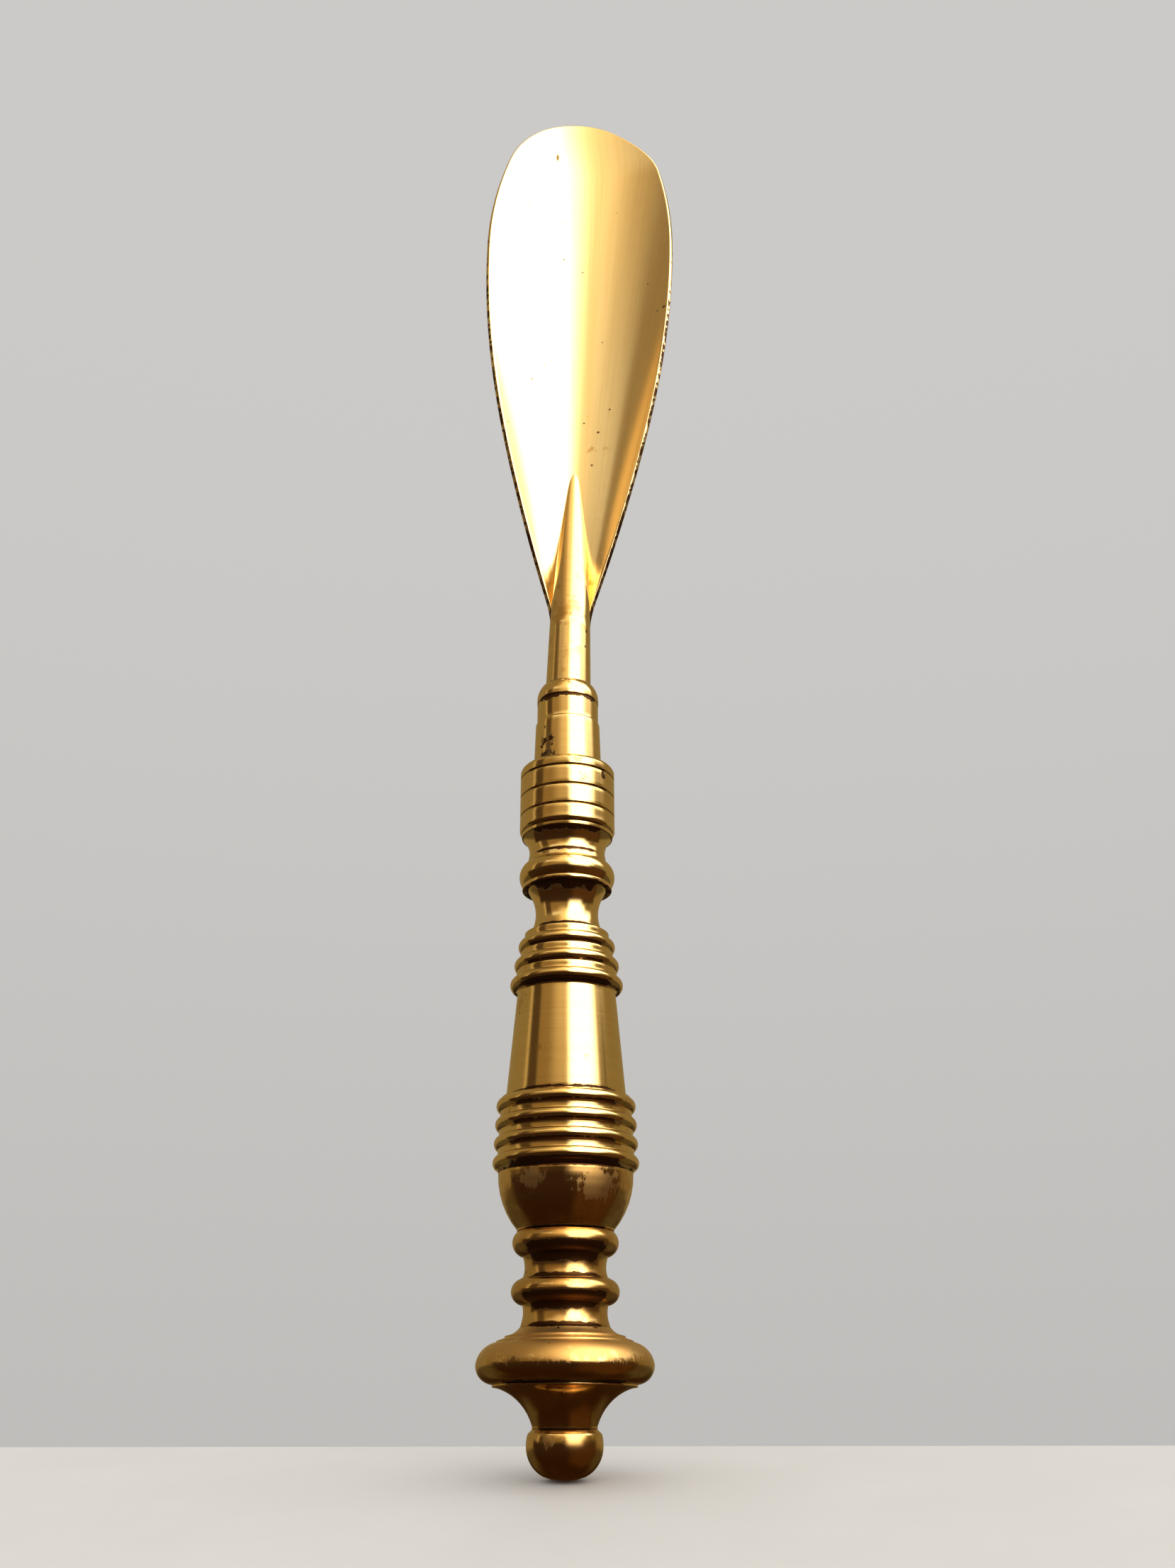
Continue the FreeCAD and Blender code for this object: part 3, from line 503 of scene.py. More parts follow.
class Slot(str, Enum):
    """Material slots of the record."""

    TURNED = "turned_brass"
    AGED = "aged_brass"
    STEM = "stem_brass"
    SHEET = "sheet_brass"
    ROD = "rod_steel"


BLADE_SPOTS = (
    Spot(0.00335, 0.2190, 0.00034),
    Spot(0.00656, 0.2161, 0.00042),
    Spot(0.00510, 0.2074, 0.00036),
    Spot(0.00765, 0.2414, 0.00024),
    Spot(0.01220, 0.3049, 0.00030, slender=3.5),
    Spot(0.02170, 0.2459, 0.00050),
    Spot(-0.00310, 0.2984, 0.00050, slender=3.0),
)

FINISHES = {
    Slot.TURNED: Brass("turned_brass_polished"),
    Slot.AGED: Brass("turned_brass_patina", clean=(0.78, 0.52, 0.22), patina=0.62, soil_and_shade=0.56),
    Slot.STEM: Brass("stem_brass_spotted", patina=0.42, soil_and_shade=0.55, polish=0.16),
    Slot.SHEET: Brass(
        "sheet_brass_scratched",
        clean=(0.90, 0.69, 0.36),
        patina=0.22,
        polish=0.22,
        grain=Grain.LENGTHWISE,
        grain_depth=0.16,
        streaks=0.2,
        spots=BLADE_SPOTS,
    ),
    Slot.ROD: Steel("rod_steel_drawn"),
}


# ---------------------------------------------------------------- modelling helpers


def only(piece: bpy.types.Object) -> None:
    """Select one object alone and make it active."""
    bpy.ops.object.select_all(action="DESELECT")
    piece.select_set(True)
    bpy.context.view_layer.objects.active = piece


def tidy_mesh(piece: bpy.types.Object) -> None:
    """Merge doubles, turn every face outwards and shade smooth between the edges."""
    only(piece)
    bpy.ops.object.mode_set(mode="EDIT")
    bpy.ops.mesh.select_all(action="SELECT")
    bpy.ops.mesh.remove_doubles(threshold=MERGE)
    bpy.ops.mesh.normals_make_consistent(inside=False)
    bpy.ops.object.mode_set(mode="OBJECT")
    bpy.ops.object.shade_smooth_by_angle(angle=SMOOTH_ANGLE)


def apply_modifier(piece: bpy.types.Object, kind: str, **settings: object) -> None:
    """Add a modifier with these settings and apply it."""
    only(piece)
    made = piece.modifiers.new(kind.lower(), kind)
    for name, setting in settings.items():
        setattr(made, name, setting)
    bpy.ops.object.modifier_apply(modifier=made.name)


def store(piece: bpy.types.Object, mark: Mark, values: np.ndarray) -> None:
    """Keep one number per vertex on the mesh."""
    made = piece.data.attributes.new(mark.value, "FLOAT", "POINT")
    made.data.foreach_set("value", values.astype(np.float32))


def vertices(piece: bpy.types.Object) -> np.ndarray:
    """Places of a mesh's vertices, in metres."""
    places = np.zeros(len(piece.data.vertices) * 3)
    piece.data.vertices.foreach_get("co", places)
    return places.reshape(-1, 3)


def directions(piece: bpy.types.Object) -> np.ndarray:
    """Normals of a mesh's vertices."""
    normals = np.zeros(len(piece.data.vertices) * 3)
    piece.data.vertices.foreach_get("normal", normals)
    return normals.reshape(-1, 3)


def place_vertices(piece: bpy.types.Object, places: np.ndarray) -> None:
    """Move a mesh's vertices."""
    piece.data.vertices.foreach_set("co", places.astype(np.float32).ravel())
    piece.data.update()


def hand_over(piece: bpy.types.Object, slot: Slot, node: str, finish: bpy.types.Material) -> None:
    """Dress a piece, let it ride on the body and let it stand for its CAD node.

    Args:
        piece: The finished piece.
        slot: The record's material slot.
        node: CAD node that it stands for.
        finish: Its material.
    """
    piece.data.materials.clear()
    piece.data.materials.append(finish)
    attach(piece, BODY)
    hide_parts(node)
    LOG.info("%s: %d faces, %s", piece.name, len(piece.data.polygons), slot.value)


class Outline:
    """Outline of a turned piece in its half plane: radius and height, in millimetres."""

    def __init__(self, radius: float, height: float) -> None:
        """Start at a point."""
        self.points: list[Point] = [(radius, height)]

    def to(self, radius: float, height: float) -> "Outline":
        """Straight on to a point."""
        self.points.append((radius, height))
        return self

    def swell(self, radius: float, height: float, rise: float) -> "Outline":
        """Arc on to a point, standing off its chord.

        Args:
            radius: Radius at its end.
            height: Height of its end.
            rise: How far it stands off; above 0 away from the axis, below 0 towards it.

        Returns:
            The outline itself.
        """
        start = Vector(self.points[-1])
        end = Vector((radius, height))
        chord = end - start
        away = Vector((chord.y, -chord.x)).normalized()
        half = 2 * math.atan(2 * rise / chord.length)
        count = max(SHORTEST_ARC, math.ceil(abs(2 * half) / ARC_STEP))
        arc_radius = chord.length / 2 / math.sin(half)
        middle = (start + end) / 2 - away * (arc_radius - rise)
        for step in range(1, count):
            turn = half * (2 * step / count - 1)
            along = chord.normalized() * math.sin(turn) + away * math.cos(turn)
            self.points.append(tuple(middle + along * arc_radius))
        self.points.append((radius, height))
        return self

    def hollow(self, radius: float, height: float, depth: float) -> "Outline":
        """Arc that stands towards the axis."""
        return self.swell(radius, height, -depth)

    def rounded(self, radius: float, height: float, start_upright: bool) -> "Outline":
        """Quarter of an ellipse on to a point.

        Args:
            radius: Radius at its end.
            height: Height of its end.
            start_upright: Whether it is upright where it starts, and not where it ends.

        Returns:
            The outline itself.
        """
        first_radius, first_height = self.points[-1]
        for step in range(1, SHOULDER_STEPS + 1):
            turn = math.pi / 2 * step / SHOULDER_STEPS
            across, up = (1 - math.cos(turn), math.sin(turn))
            if not start_upright:
                across, up = up, across
            self.points.append(
                (
                    first_radius + (radius - first_radius) * across,
                    first_height + (height - first_height) * up,
                )
            )
        return self

    def split(self, points: list[Point]) -> list[Point]:
        """The same outline with long straights divided, so that marks on the mesh stay local."""
        divided = [points[0]]
        for start, end in zip(points[:-1], points[1:]):
            parts = max(1, math.ceil((Vector(end) - Vector(start)).length / LONGEST_EDGE))
            for part in range(1, parts + 1):
                divided.append(tuple(Vector(start).lerp(Vector(end), part / parts)))
        return divided

    def eased(self) -> list[Point]:
        """The outline with each sharp corner worn round."""
        eased = [self.points[0]]
        for before, corner, after in zip(self.points[:-2], self.points[1:-1], self.points[2:]):
            back = Vector(before) - Vector(corner)
            forth = Vector(after) - Vector(corner)
            if math.pi - back.angle(forth) < SHARP_TURN:
                eased.append(corner)
                continue
            start = Vector(corner) + back.normalized() * min(EDGE_WEAR, back.length * EASE_SHARE)
            end = Vector(corner) + forth.normalized() * min(EDGE_WEAR, forth.length * EASE_SHARE)
            middle = (start + end) / 4 + Vector(corner) / 2
            eased += [tuple(start), tuple(middle), tuple(end)]
        return self.split([*eased, self.points[-1]])


def turn(name: str, outline: Outline, foot: float) -> bpy.types.Object:
    """Draw an outline point by point and spin it about the handle's axis.

    Args:
        name: Name of the piece.
        outline: Its closed or pole to pole outline.
        foot: Height of the outline's zero, in millimetres.

    Returns:
        The piece, its place in its mesh.
    """
    points = [Vector((radius, 0.0, height + foot)) * MM for radius, height in outline.eased()]
    bpy.ops.object.select_all(action="DESELECT")
    bpy.ops.mesh.primitive_plane_add(size=MM)
    piece = bpy.context.active_object
    piece.name = piece.data.name = name
    bpy.ops.object.mode_set(mode="EDIT")
    bpy.ops.mesh.select_all(action="SELECT")
    bpy.ops.mesh.merge(type="CENTER")
    bpy.ops.transform.translate(value=points[0])
    for before, after in zip(points[:-1], points[1:]):
        bpy.ops.mesh.extrude_region_move(TRANSFORM_OT_translate={"value": after - before})
    bpy.ops.mesh.select_all(action="SELECT")
    bpy.ops.mesh.spin(steps=TURN_STEPS, angle=2 * math.pi, center=(0, 0, 0), axis=(0, 0, 1))
    bpy.ops.object.mode_set(mode="OBJECT")
    tidy_mesh(piece)
    return piece


# ---------------------------------------------------------------- handle sections


@dataclass(frozen=True)
class Joinery:
    """Rod bore and registers that the turned sections share."""

    bore: float = 2.65
    rod: float = 2.5
    recess: float = 4.05
    recess_depth: float = 1.4
    spigot: float = 4.0
    spigot_rise: float = 1.2

    def foot(self, radius: float) -> Outline:
        """Outline from the bore through the recess to the lower face's edge."""
        outline = Outline(self.bore, self.recess_depth).to(self.recess, self.recess_depth)
        return outline.to(self.recess, 0).to(radius, 0)

    def top(self, outline: Outline, height: float) -> Outline:
        """Upper face, spigot and the bore back to the start."""
        top = height + self.spigot_rise
        outline.to(self.spigot, height).to(self.spigot, top).to(self.bore, top)
        return outline.to(*outline.points[0])


JOINERY = Joinery()


@dataclass
class Section:
    """A turned section of the handle.

    Attributes:
        node: CAD node that it stands for.
        height: Lower face to upper face.
        slot: The record's material slot.
        soiled_and_shaded: Share of the tarnish and painted shade that its hollows, its overhangs and its
            downward faces get, 0 to 1.
        overhang: How far down a face has to look, 0 to 1, before shade is painted on it.
    """

    node: str
    height: float
    slot: Slot = Slot.TURNED
    soiled_and_shaded: float = 1.0
    overhang: float = 0.42

    def side(self) -> Outline:
        """Outline from the bore to the upper face's edge, heights from the lower face."""
        raise NotImplementedError

    def outline(self) -> Outline:
        """Closed outline with the upper face, the spigot and the bore."""
        return JOINERY.top(self.side(), self.height)

    def build(self, foot: float) -> bpy.types.Object:
        """Turn the section with its lower face at a height."""
        return turn(f"{self.node}_turned", self.outline(), foot)


@dataclass
class Ball(Section):
    """Ball finial that the handle stands on."""

    flat: float = 2.2
    radius: float = 6.64
    equator: float = 5.2
    top: float = 5.7
    chamfer: float = 0.45
    hole_floor: float = 1.8

    def outline(self) -> Outline:
        """Ball with its widest place above its middle and a blind hole."""
        outline = Outline(0, 0).to(self.flat, 0)
        reach = self.radius - self.flat
        arc_radius = (reach * reach + self.equator * self.equator) / (2 * reach)
        for step in range(1, BALL_STEPS + 1):
            rise = self.equator * step / BALL_STEPS
            drop = self.equator - rise
            outline.to(self.radius - arc_radius + math.sqrt(arc_radius**2 - drop**2), rise)
        edge_height = self.height - self.chamfer
        outline.rounded(self.top + self.chamfer, edge_height, start_upright=True)
        outline.to(self.top, self.height).to(JOINERY.rod, self.height)
        return outline.to(JOINERY.rod, self.hole_floor).to(0, self.hole_floor)


@dataclass
class Trumpet(Section):
    """Flared foot with a thin rim."""

    neck: float = 5.65
    neck_rise: float = 0.55
    mouth: float = 12.2
    rim: float = 12.65
    rim_rise: float = 0.45
    flare: float = 1.2

    def side(self) -> Outline:
        """Neck, flare and rim."""
        rim_start = self.height - self.rim_rise
        outline = Outline(JOINERY.bore, 0).to(self.neck, 0).to(self.neck, self.neck_rise)
        outline.hollow(self.mouth, rim_start, self.flare)
        return outline.to(self.rim, rim_start).to(self.rim, self.height)


@dataclass
class Disc(Section):
    """Broad rounded disc with fine steps and a cove above."""

    under: float = 12.6
    under_swell: float = 0.85
    radius: float = 15.6
    equator: float = 3.1
    ledge: float = 12.45
    ledge_height: float = 6.75
    ledge_swell: float = 0.75
    step: float = 12.05
    step_rise: float = 0.3
    second: float = 10.6
    second_height: float = 7.55
    top: float = 8.0
    cove: float = 0.3

    def side(self) -> Outline:
        """Rounded rim, two steps and the cove."""
        outline = JOINERY.foot(self.under).swell(self.radius, self.equator, self.under_swell)
        outline.swell(self.ledge, self.ledge_height, self.ledge_swell).to(self.step, self.ledge_height)
        outline.to(self.step, self.ledge_height + self.step_rise).to(self.second, self.second_height)
        outline.to(self.second, self.second_height + self.step_rise)
        return outline.hollow(self.top, self.height, self.cove)


@dataclass
class RingedSpool(Section):
    """Spool with a flared foot, a neck and one rounded ring."""

    foot: float = 7.95
    top: float = 7.95
    proud: float = 1.85
    foot_rise: float = 0.85
    neck_drop: float = 0.25
    neck_hollow: float = 0.2
    ring_start: float = 3.75
    ring_base: float = 7.6
    ring_height: float = 4.35

    def side(self) -> Outline:
        """Foot, neck and ring."""
        outline = JOINERY.foot(self.foot).to(self.foot - self.neck_drop, self.foot_rise)
        outline.hollow(self.ring_base, self.ring_start, self.neck_hollow)
        outline.swell(self.top, self.ring_start + self.ring_height, self.proud)
        return outline.to(self.top, self.height)


@dataclass
class Bulb(Section):
    """Bowl-shaped section that widens up to the reeds."""

    foot: float = 8.75
    foot_rise: float = 0.25
    top: float = 12.3
    swelling: float = 0.95

    def side(self) -> Outline:
        """Straight foot and swelling side."""
        outline = JOINERY.foot(self.foot).to(self.foot, self.foot_rise)
        return outline.swell(self.top, self.height, self.swelling)


@dataclass
class LowerReeds(Section):
    """Half-round reeds, each a little wider than the one above."""

    base: float = 12.15
    pitch: float = 3.45
    reed: float = 2.35
    proud: float = 0.72
    growth: float = 0.17
    foot_rise: float = 0.7
    count: int = 4

    def side(self) -> Outline:
        """The reeds and the fillets between them."""
        outline = JOINERY.foot(self.base)
        base = self.base + (self.count - 1) * self.growth
        start = self.foot_rise
        for _ in range(self.count):
            outline.to(base, start).swell(base, start + self.reed, self.proud)
            base -= self.growth
            outline.to(base, start + self.reed)
            start += self.pitch
        return outline.to(base, self.height)


@dataclass
class Grip(Section):
    """Plain tapered barrel with a small cove at its top."""

    lower: float = 11.15
    upper: float = 9.35
    cove_rise: float = 0.6
    cove_flare: float = 0.3
    cove: float = 0.05

    def side(self) -> Outline:
        """Taper and cove."""
        outline = JOINERY.foot(self.lower).to(self.upper, self.height - self.cove_rise)
        return outline.hollow(self.upper + self.cove_flare, self.height, self.cove)


@dataclass
class UpperReeds(Section):
    """Three reeds that step in as they climb, under a coved cap."""

    foot: float = 10.0
    reed: float = 2.4
    proud: float = 0.75
    fillet: float = 1.4
    inset: float = 0.42
    step: float = 0.73
    count: int = 3
    top: float = 6.8
    cap: float = 0.12

    def side(self) -> Outline:
        """The reeds, their fillets and the cap."""
        outline = JOINERY.foot(self.foot)
        base, start = self.foot, 0.0
        for reed in range(self.count):
            if reed:
                outline.to(base, start)
            start += self.reed
            outline.swell(base, start, self.proud).to(base - self.inset, start)
            start += self.fillet
            outline.to(base - self.inset, start)
            base -= self.step
        return outline.hollow(self.top, self.height, self.cap)


@dataclass
class Waist(Section):
    """Hollow-sided spool, the narrowest place of the handle."""

    lower: float = 6.8
    upper: float = 7.7
    cove: float = 1.15

    def side(self) -> Outline:
        """One cove."""
        return JOINERY.foot(self.lower).hollow(self.upper, self.height, self.cove)


@dataclass
class Knop(Section):
    """Bead between a fillet and a narrow band."""

    fillet: float = 8.75
    fillet_rise: float = 0.75
    bead_lower: float = 8.6
    bead_upper: float = 8.2
    proud: float = 0.92
    band: float = 7.75
    band_rise: float = 1.35
    band_taper: float = 0.15

    def side(self) -> Outline:
        """Fillet, bead and band."""
        band_start = self.height - self.band_rise
        outline = JOINERY.foot(self.fillet).to(self.fillet, self.fillet_rise)
        outline.to(self.bead_lower, self.fillet_rise).swell(self.bead_upper, band_start, self.proud)
        return outline.to(self.band, band_start).to(self.band - self.band_taper, self.height)


@dataclass
class GroovedCollar(Section):
    """Collar with a cove below and scribed grooves round it."""

    foot: float = 7.6
    cove_top: float = 8.75
    cove_height: float = 4.4
    cove: float = 0.62
    fillet: float = 8.98
    fillet_rise: float = 0.7
    edge_rise: float = 1.1
    edge: float = 0.16
    radius: float = 9.42
    groove_start: float = 8.75
    groove_pitch: float = 4.05
    groove_width: float = 0.46
    groove_depth: float = 0.28
    grooves: int = 3
    top_round: float = 1.0
    top_swell: float = 0.16
    tang: float = 3.0
    tang_floor: float = 9.2

    def outline(self) -> Outline:
        """Cove, fillet, grooved cylinder and the two holes."""
        outline = Outline(JOINERY.rod, JOINERY.recess_depth).to(JOINERY.recess, JOINERY.recess_depth)
        outline.to(JOINERY.recess, 0).to(self.foot, 0)
        outline.hollow(self.cove_top, self.cove_height, self.cove).to(self.fillet, self.cove_height)
        fillet_top = self.cove_height + self.fillet_rise
        outline.to(self.fillet, fillet_top).swell(self.radius, fillet_top + self.edge_rise, self.edge)
        for groove in range(self.grooves):
            middle = self.groove_start + groove * self.groove_pitch
            outline.to(self.radius, middle - self.groove_width / 2)
            outline.to(self.radius - self.groove_depth, middle)
            outline.to(self.radius, middle + self.groove_width / 2)
        outline.to(self.radius, self.height - self.top_round)
        outline.swell(self.radius - self.top_round, self.height, self.top_swell)
        outline.to(self.tang, self.height).to(self.tang, self.height - self.tang_floor)
        outline.to(JOINERY.rod, self.height - self.tang_floor)
        return outline.to(*outline.points[0])


@dataclass
class Ferrule(Section):
    """Tube over the tang, with one scribed line."""

    bore: float = 3.1
    lower: float = 6.8
    line: float = 6.5
    line_height: float = 9.7
    line_width: float = 0.3
    upper: float = 6.22

    def outline(self) -> Outline:
        """Tapered tube with its line."""
        outline = Outline(self.bore, 0).to(self.lower, 0).to(self.line, self.line_height)
        outline.to(self.upper, self.line_height + self.line_width).to(self.upper, self.height)
        return outline.to(self.bore, self.height).to(self.bore, 0)


@dataclass
class StemCollar(Section):
    """Bevelled collar over the root of the stem."""

    bore: float = 4.87
    radius: float = 6.28
    land: float = 0.9
    top: float = 5.15
    shoulder: float = 0.3

    def outline(self) -> Outline:
        """Land and rounded shoulder."""
        outline = Outline(self.bore, 0).to(self.radius, 0).to(self.radius, self.land)
        outline.swell(self.top, self.height, self.shoulder).to(self.bore, self.height)
        return outline.to(self.bore, 0)


SECTIONS: list[Section] = [
    Ball("ball_finial", 7.8, Slot.AGED, soiled_and_shaded=0.3),
    Trumpet("trumpet_foot", 7.2, Slot.AGED, soiled_and_shaded=0.0),
    Disc("pommel_disc", 9.3, Slot.AGED, soiled_and_shaded=0.3),
    RingedSpool("lower_ring_spool", 8.2, Slot.AGED, overhang=0.0),
    RingedSpool("upper_ring_spool", 8.15, Slot.AGED, overhang=0.0, foot=7.6, top=8.5, proud=1.45),
    Bulb("pommel_bulb", 10.05, Slot.AGED, soiled_and_shaded=0.0),
    LowerReeds("lower_reeded_ring", 13.7, overhang=0.2),
    Grip("tapered_grip", 20.35),
    UpperReeds("upper_reeded_ring", 12.05, overhang=0.25),
    Waist("waist_spool", 8.3),
    Knop("upper_knop", 6.55),
    GroovedCollar("grooved_collar", 19.4),
    Ferrule("neck_ferrule", 14.6),
    StemCollar("stem_collar", 3.9),
]


@dataclass(frozen=True)
class Patch:
    """Dark or dull blotch on a turned piece or on the stem.

    Attributes:
        azimuth: Its place round the piece in degrees; 0 is in front and 90 to the right.
        height: Its height, in millimetres.
        half_angle: Half its width, in degrees.
        half_height: Half its height, in millimetres.
        strength: How strong it is, 0 to 1.
    """

    azimuth: float
    height: float
    half_angle: float
    half_height: float
    strength: float = 1.0

    def amount(self, azimuth: np.ndarray, height: np.ndarray) -> np.ndarray:
        """Share of the patch at each place."""
        across = (azimuth - self.azimuth) / self.half_angle
        up = (height - self.height) / self.half_height
        return self.strength * np.exp(-(across**2 + up**2))


STAINS_AND_SHADE = (
    Patch(-38, 135.4, 26, 4.2, 0.78),
    Patch(-30, 135.8, 14, 1.7, 0.9),
    Patch(-44, 138.8, 12, 1.6, 0.8),
    Patch(-36, 145.3, 26, 0.85, 1.1),
    Patch(-2, 145.3, 22, 0.55, 1.0),
    Patch(42, 145.2, 34, 0.5, 0.95),
    Patch(50, 127.4, 7, 1.2, 0.7),
    Patch(52, 124.9, 6, 0.8, 0.6),
    Patch(-50, 128.5, 7, 0.8, 0.5),
    Patch(54, 161.5, 9, 1.5, 0.8),
    Patch(50, 158.2, 7, 0.9, 0.75),
    # Painted reflection: these two darken the lower half of each ring at the front, standing in for the
    # dark surroundings below reflected there; the rows above are stains.
    Patch(0, 29.5, 50, 0.9, 0.35),
    Patch(0, 38.0, 50, 0.9, 0.45),
)
DULL_PATCHES = (
    Patch(-30, 48.6, 17, 2.4, 1.0),
    Patch(30, 47.2, 24, 3.6, 1.0),
    Patch(20, 43.5, 16, 2.4, 0.5),
    Patch(-25, 28.5, 26, 1.5, 0.8),
    Patch(-25, 36.5, 26, 1.5, 0.8),
    Patch(0, 21.4, 110, 3.2, 1.5),
    Patch(-25, 6.0, 30, 1.6, 0.7),
)


def covered(patches: Sequence[Patch], places: np.ndarray) -> np.ndarray:
    """Strongest patch at each place, in millimetres, of a turned piece or of the stem."""
    azimuth = np.degrees(np.arctan2(places[:, 0], -places[:, 1]))
    return np.max([patch.amount(azimuth, places[:, 2]) for patch in patches], axis=0)


@dataclass
class Handle:
    """The stack of turned sections, and the marks that tell the finish where tarnish gathers and where
    shade is painted.

    Attributes:
        sections: Sections from the ball up.
        reach: How far a neighbour shades a crevice.
        depth: Depth of a crevice that counts as full.
        seam_width: Half width of the tarnish along a joint.
        level_step: Spacing of the contour's heights.
        side_share: Share of the darkening of crevices, seams and undersides that the two sides keep, so
            that the painted reflection stays full only front and back.
        front_start: How squarely a place has to face front or back, 0 to 1, to keep more of it.
        front_width: From there to all of it.
        shade_steps: Heights at which a neighbour is looked for.
        shade_fade: Share of the shading that is lost at the full reach.
        steep_width: From a section's overhang to fully painted shade.
        ledge: Share of a crevice's tarnish and painted shade that lies on a ledge below it.
    """

    sections: Sequence[Section] = field(default_factory=lambda: SECTIONS)
    reach: float = 2.0
    depth: float = 1.5
    seam_width: float = 0.32
    level_step: float = 0.1
    side_share: float = 0.35
    front_start: float = 0.55
    front_width: float = 0.2
    shade_steps: int = 17
    shade_fade: float = 0.35
    steep_width: float = 0.25
    ledge: float = 0.45

    def feet(self) -> list[float]:
        """Height of every section's lower face, and of the top."""
        heights = [0.0]
        for section in self.sections:
            heights.append(heights[-1] + section.height)
        return heights

    def contour(self) -> tuple[np.ndarray, np.ndarray]:
        """Outer radius of the whole handle by height, in millimetres.

        Returns:
            Heights, and the outer radius at each.
        """
        levels = np.arange(0.0, self.feet()[-1], self.level_step)
        widest = np.zeros(len(levels))
        for section, foot in zip(self.sections, self.feet()):
            points = section.outline().points
            for (first, low), (second, high) in zip(points[:-1], points[1:]):
                steps = max(2, math.ceil(abs(high - low) / self.level_step) + 1)
                for radius, height in zip(np.linspace(first, second, steps), np.linspace(low, high, steps)):
                    level = min(round((height + foot) / self.level_step), len(levels) - 1)
                    widest[level] = max(widest[level], radius)
        return levels, widest

    def mark(
        self, section: Section, piece: bpy.types.Object, levels: np.ndarray, widest: np.ndarray
    ) -> None:
        """Store how deep in a crevice, how near a joint and how far underneath each vertex is; the crevice
        and underside marks carry painted shade as well as tarnish.

        Args:
            section: A turned section.
            piece: Its mesh.
            levels: Heights of the handle's contour.
            widest: The contour's radius at each.
        """
        places = vertices(piece) / MM
        radius = np.hypot(places[:, 0], places[:, 1])
        # Partly painted shade: a vertex goes darker the more a wider neighbour stands out above it, and
        # less so below it, besides the tarnish in its hollows.
        around = np.zeros(len(places))
        for offset in np.linspace(-self.reach, self.reach, self.shade_steps):
            fade = (1 - self.shade_fade * abs(offset) / self.reach) * (1 if offset > 0 else self.ledge)
            near = np.interp(places[:, 2] + offset, levels, widest) - radius
            around = np.maximum(around, near * fade)
        joints = np.array(self.feet()[1:])
        gap = np.abs(places[:, 2:3] - joints[None, :]).min(axis=1)
        down = np.clip(-directions(piece)[:, 2], 0, 1)
        # Painted reflection: crevices, seams and undersides are darkened in full only where a place faces
        # squarely front or back, as wide as the dark surroundings below are reflected; the sides keep a
        # share.
        facing = np.abs(places[:, 1]) / np.maximum(radius, TINY)
        left = self.side_share + (1 - self.side_share) * np.clip((facing - self.front_start) / self.front_width, 0, 1)
        store(piece, Mark.CREVICE, np.clip(around / self.depth, 0, 1) * left * section.soiled_and_shaded)
        store(piece, Mark.SEAM, np.exp(-((gap / self.seam_width) ** 2)) * left)
        # Painted shade: faces that look down are darkened, standing in for shade and for the dark
        # surroundings below reflected in them.
        steep = np.clip((down - section.overhang) / self.steep_width, 0, 1)
        store(piece, Mark.UNDER, steep * left * section.soiled_and_shaded)
        store(piece, Mark.STAIN, covered(STAINS_AND_SHADE, places))
        store(piece, Mark.DULL, covered(DULL_PATCHES, places))

    def build(self, finishes: dict[Slot, bpy.types.Material]) -> None:
        """Turn, mark and dress every section."""
        pieces = [section.build(foot) for section, foot in zip(self.sections, self.feet())]
        levels, widest = self.contour()
        for section, piece in zip(self.sections, pieces):
            self.mark(section, piece, levels, widest)
            hand_over(piece, section.slot, section.node, finishes[section.slot])


# ---------------------------------------------------------------- stem and blade


@dataclass
class Lean:
    """Stem and blade lean a little to one side above the ferrule."""

    pivot: float
    degrees: float = 1.18

    def lean(self, places: np.ndarray, above: float) -> np.ndarray:
        """Turn places about the pivot.

        Args:
            places: Places in millimetres, heights from the ferrule's top.
            above: Only what is above this height turns.

        Returns:
            Places in metres in the object's frame.
        """
        turned = np.array(places, float)
        angle = math.radians(self.degrees)
        moved = turned[:, 2] > above
        x, z = turned[moved, 0].copy(), turned[moved, 2].copy()
        turned[moved, 0] = x * math.cos(angle) + z * math.sin(angle)
        turned[moved, 2] = z * math.cos(angle) - x * math.sin(angle)
        turned[:, 2] += self.pivot
        return turned * MM


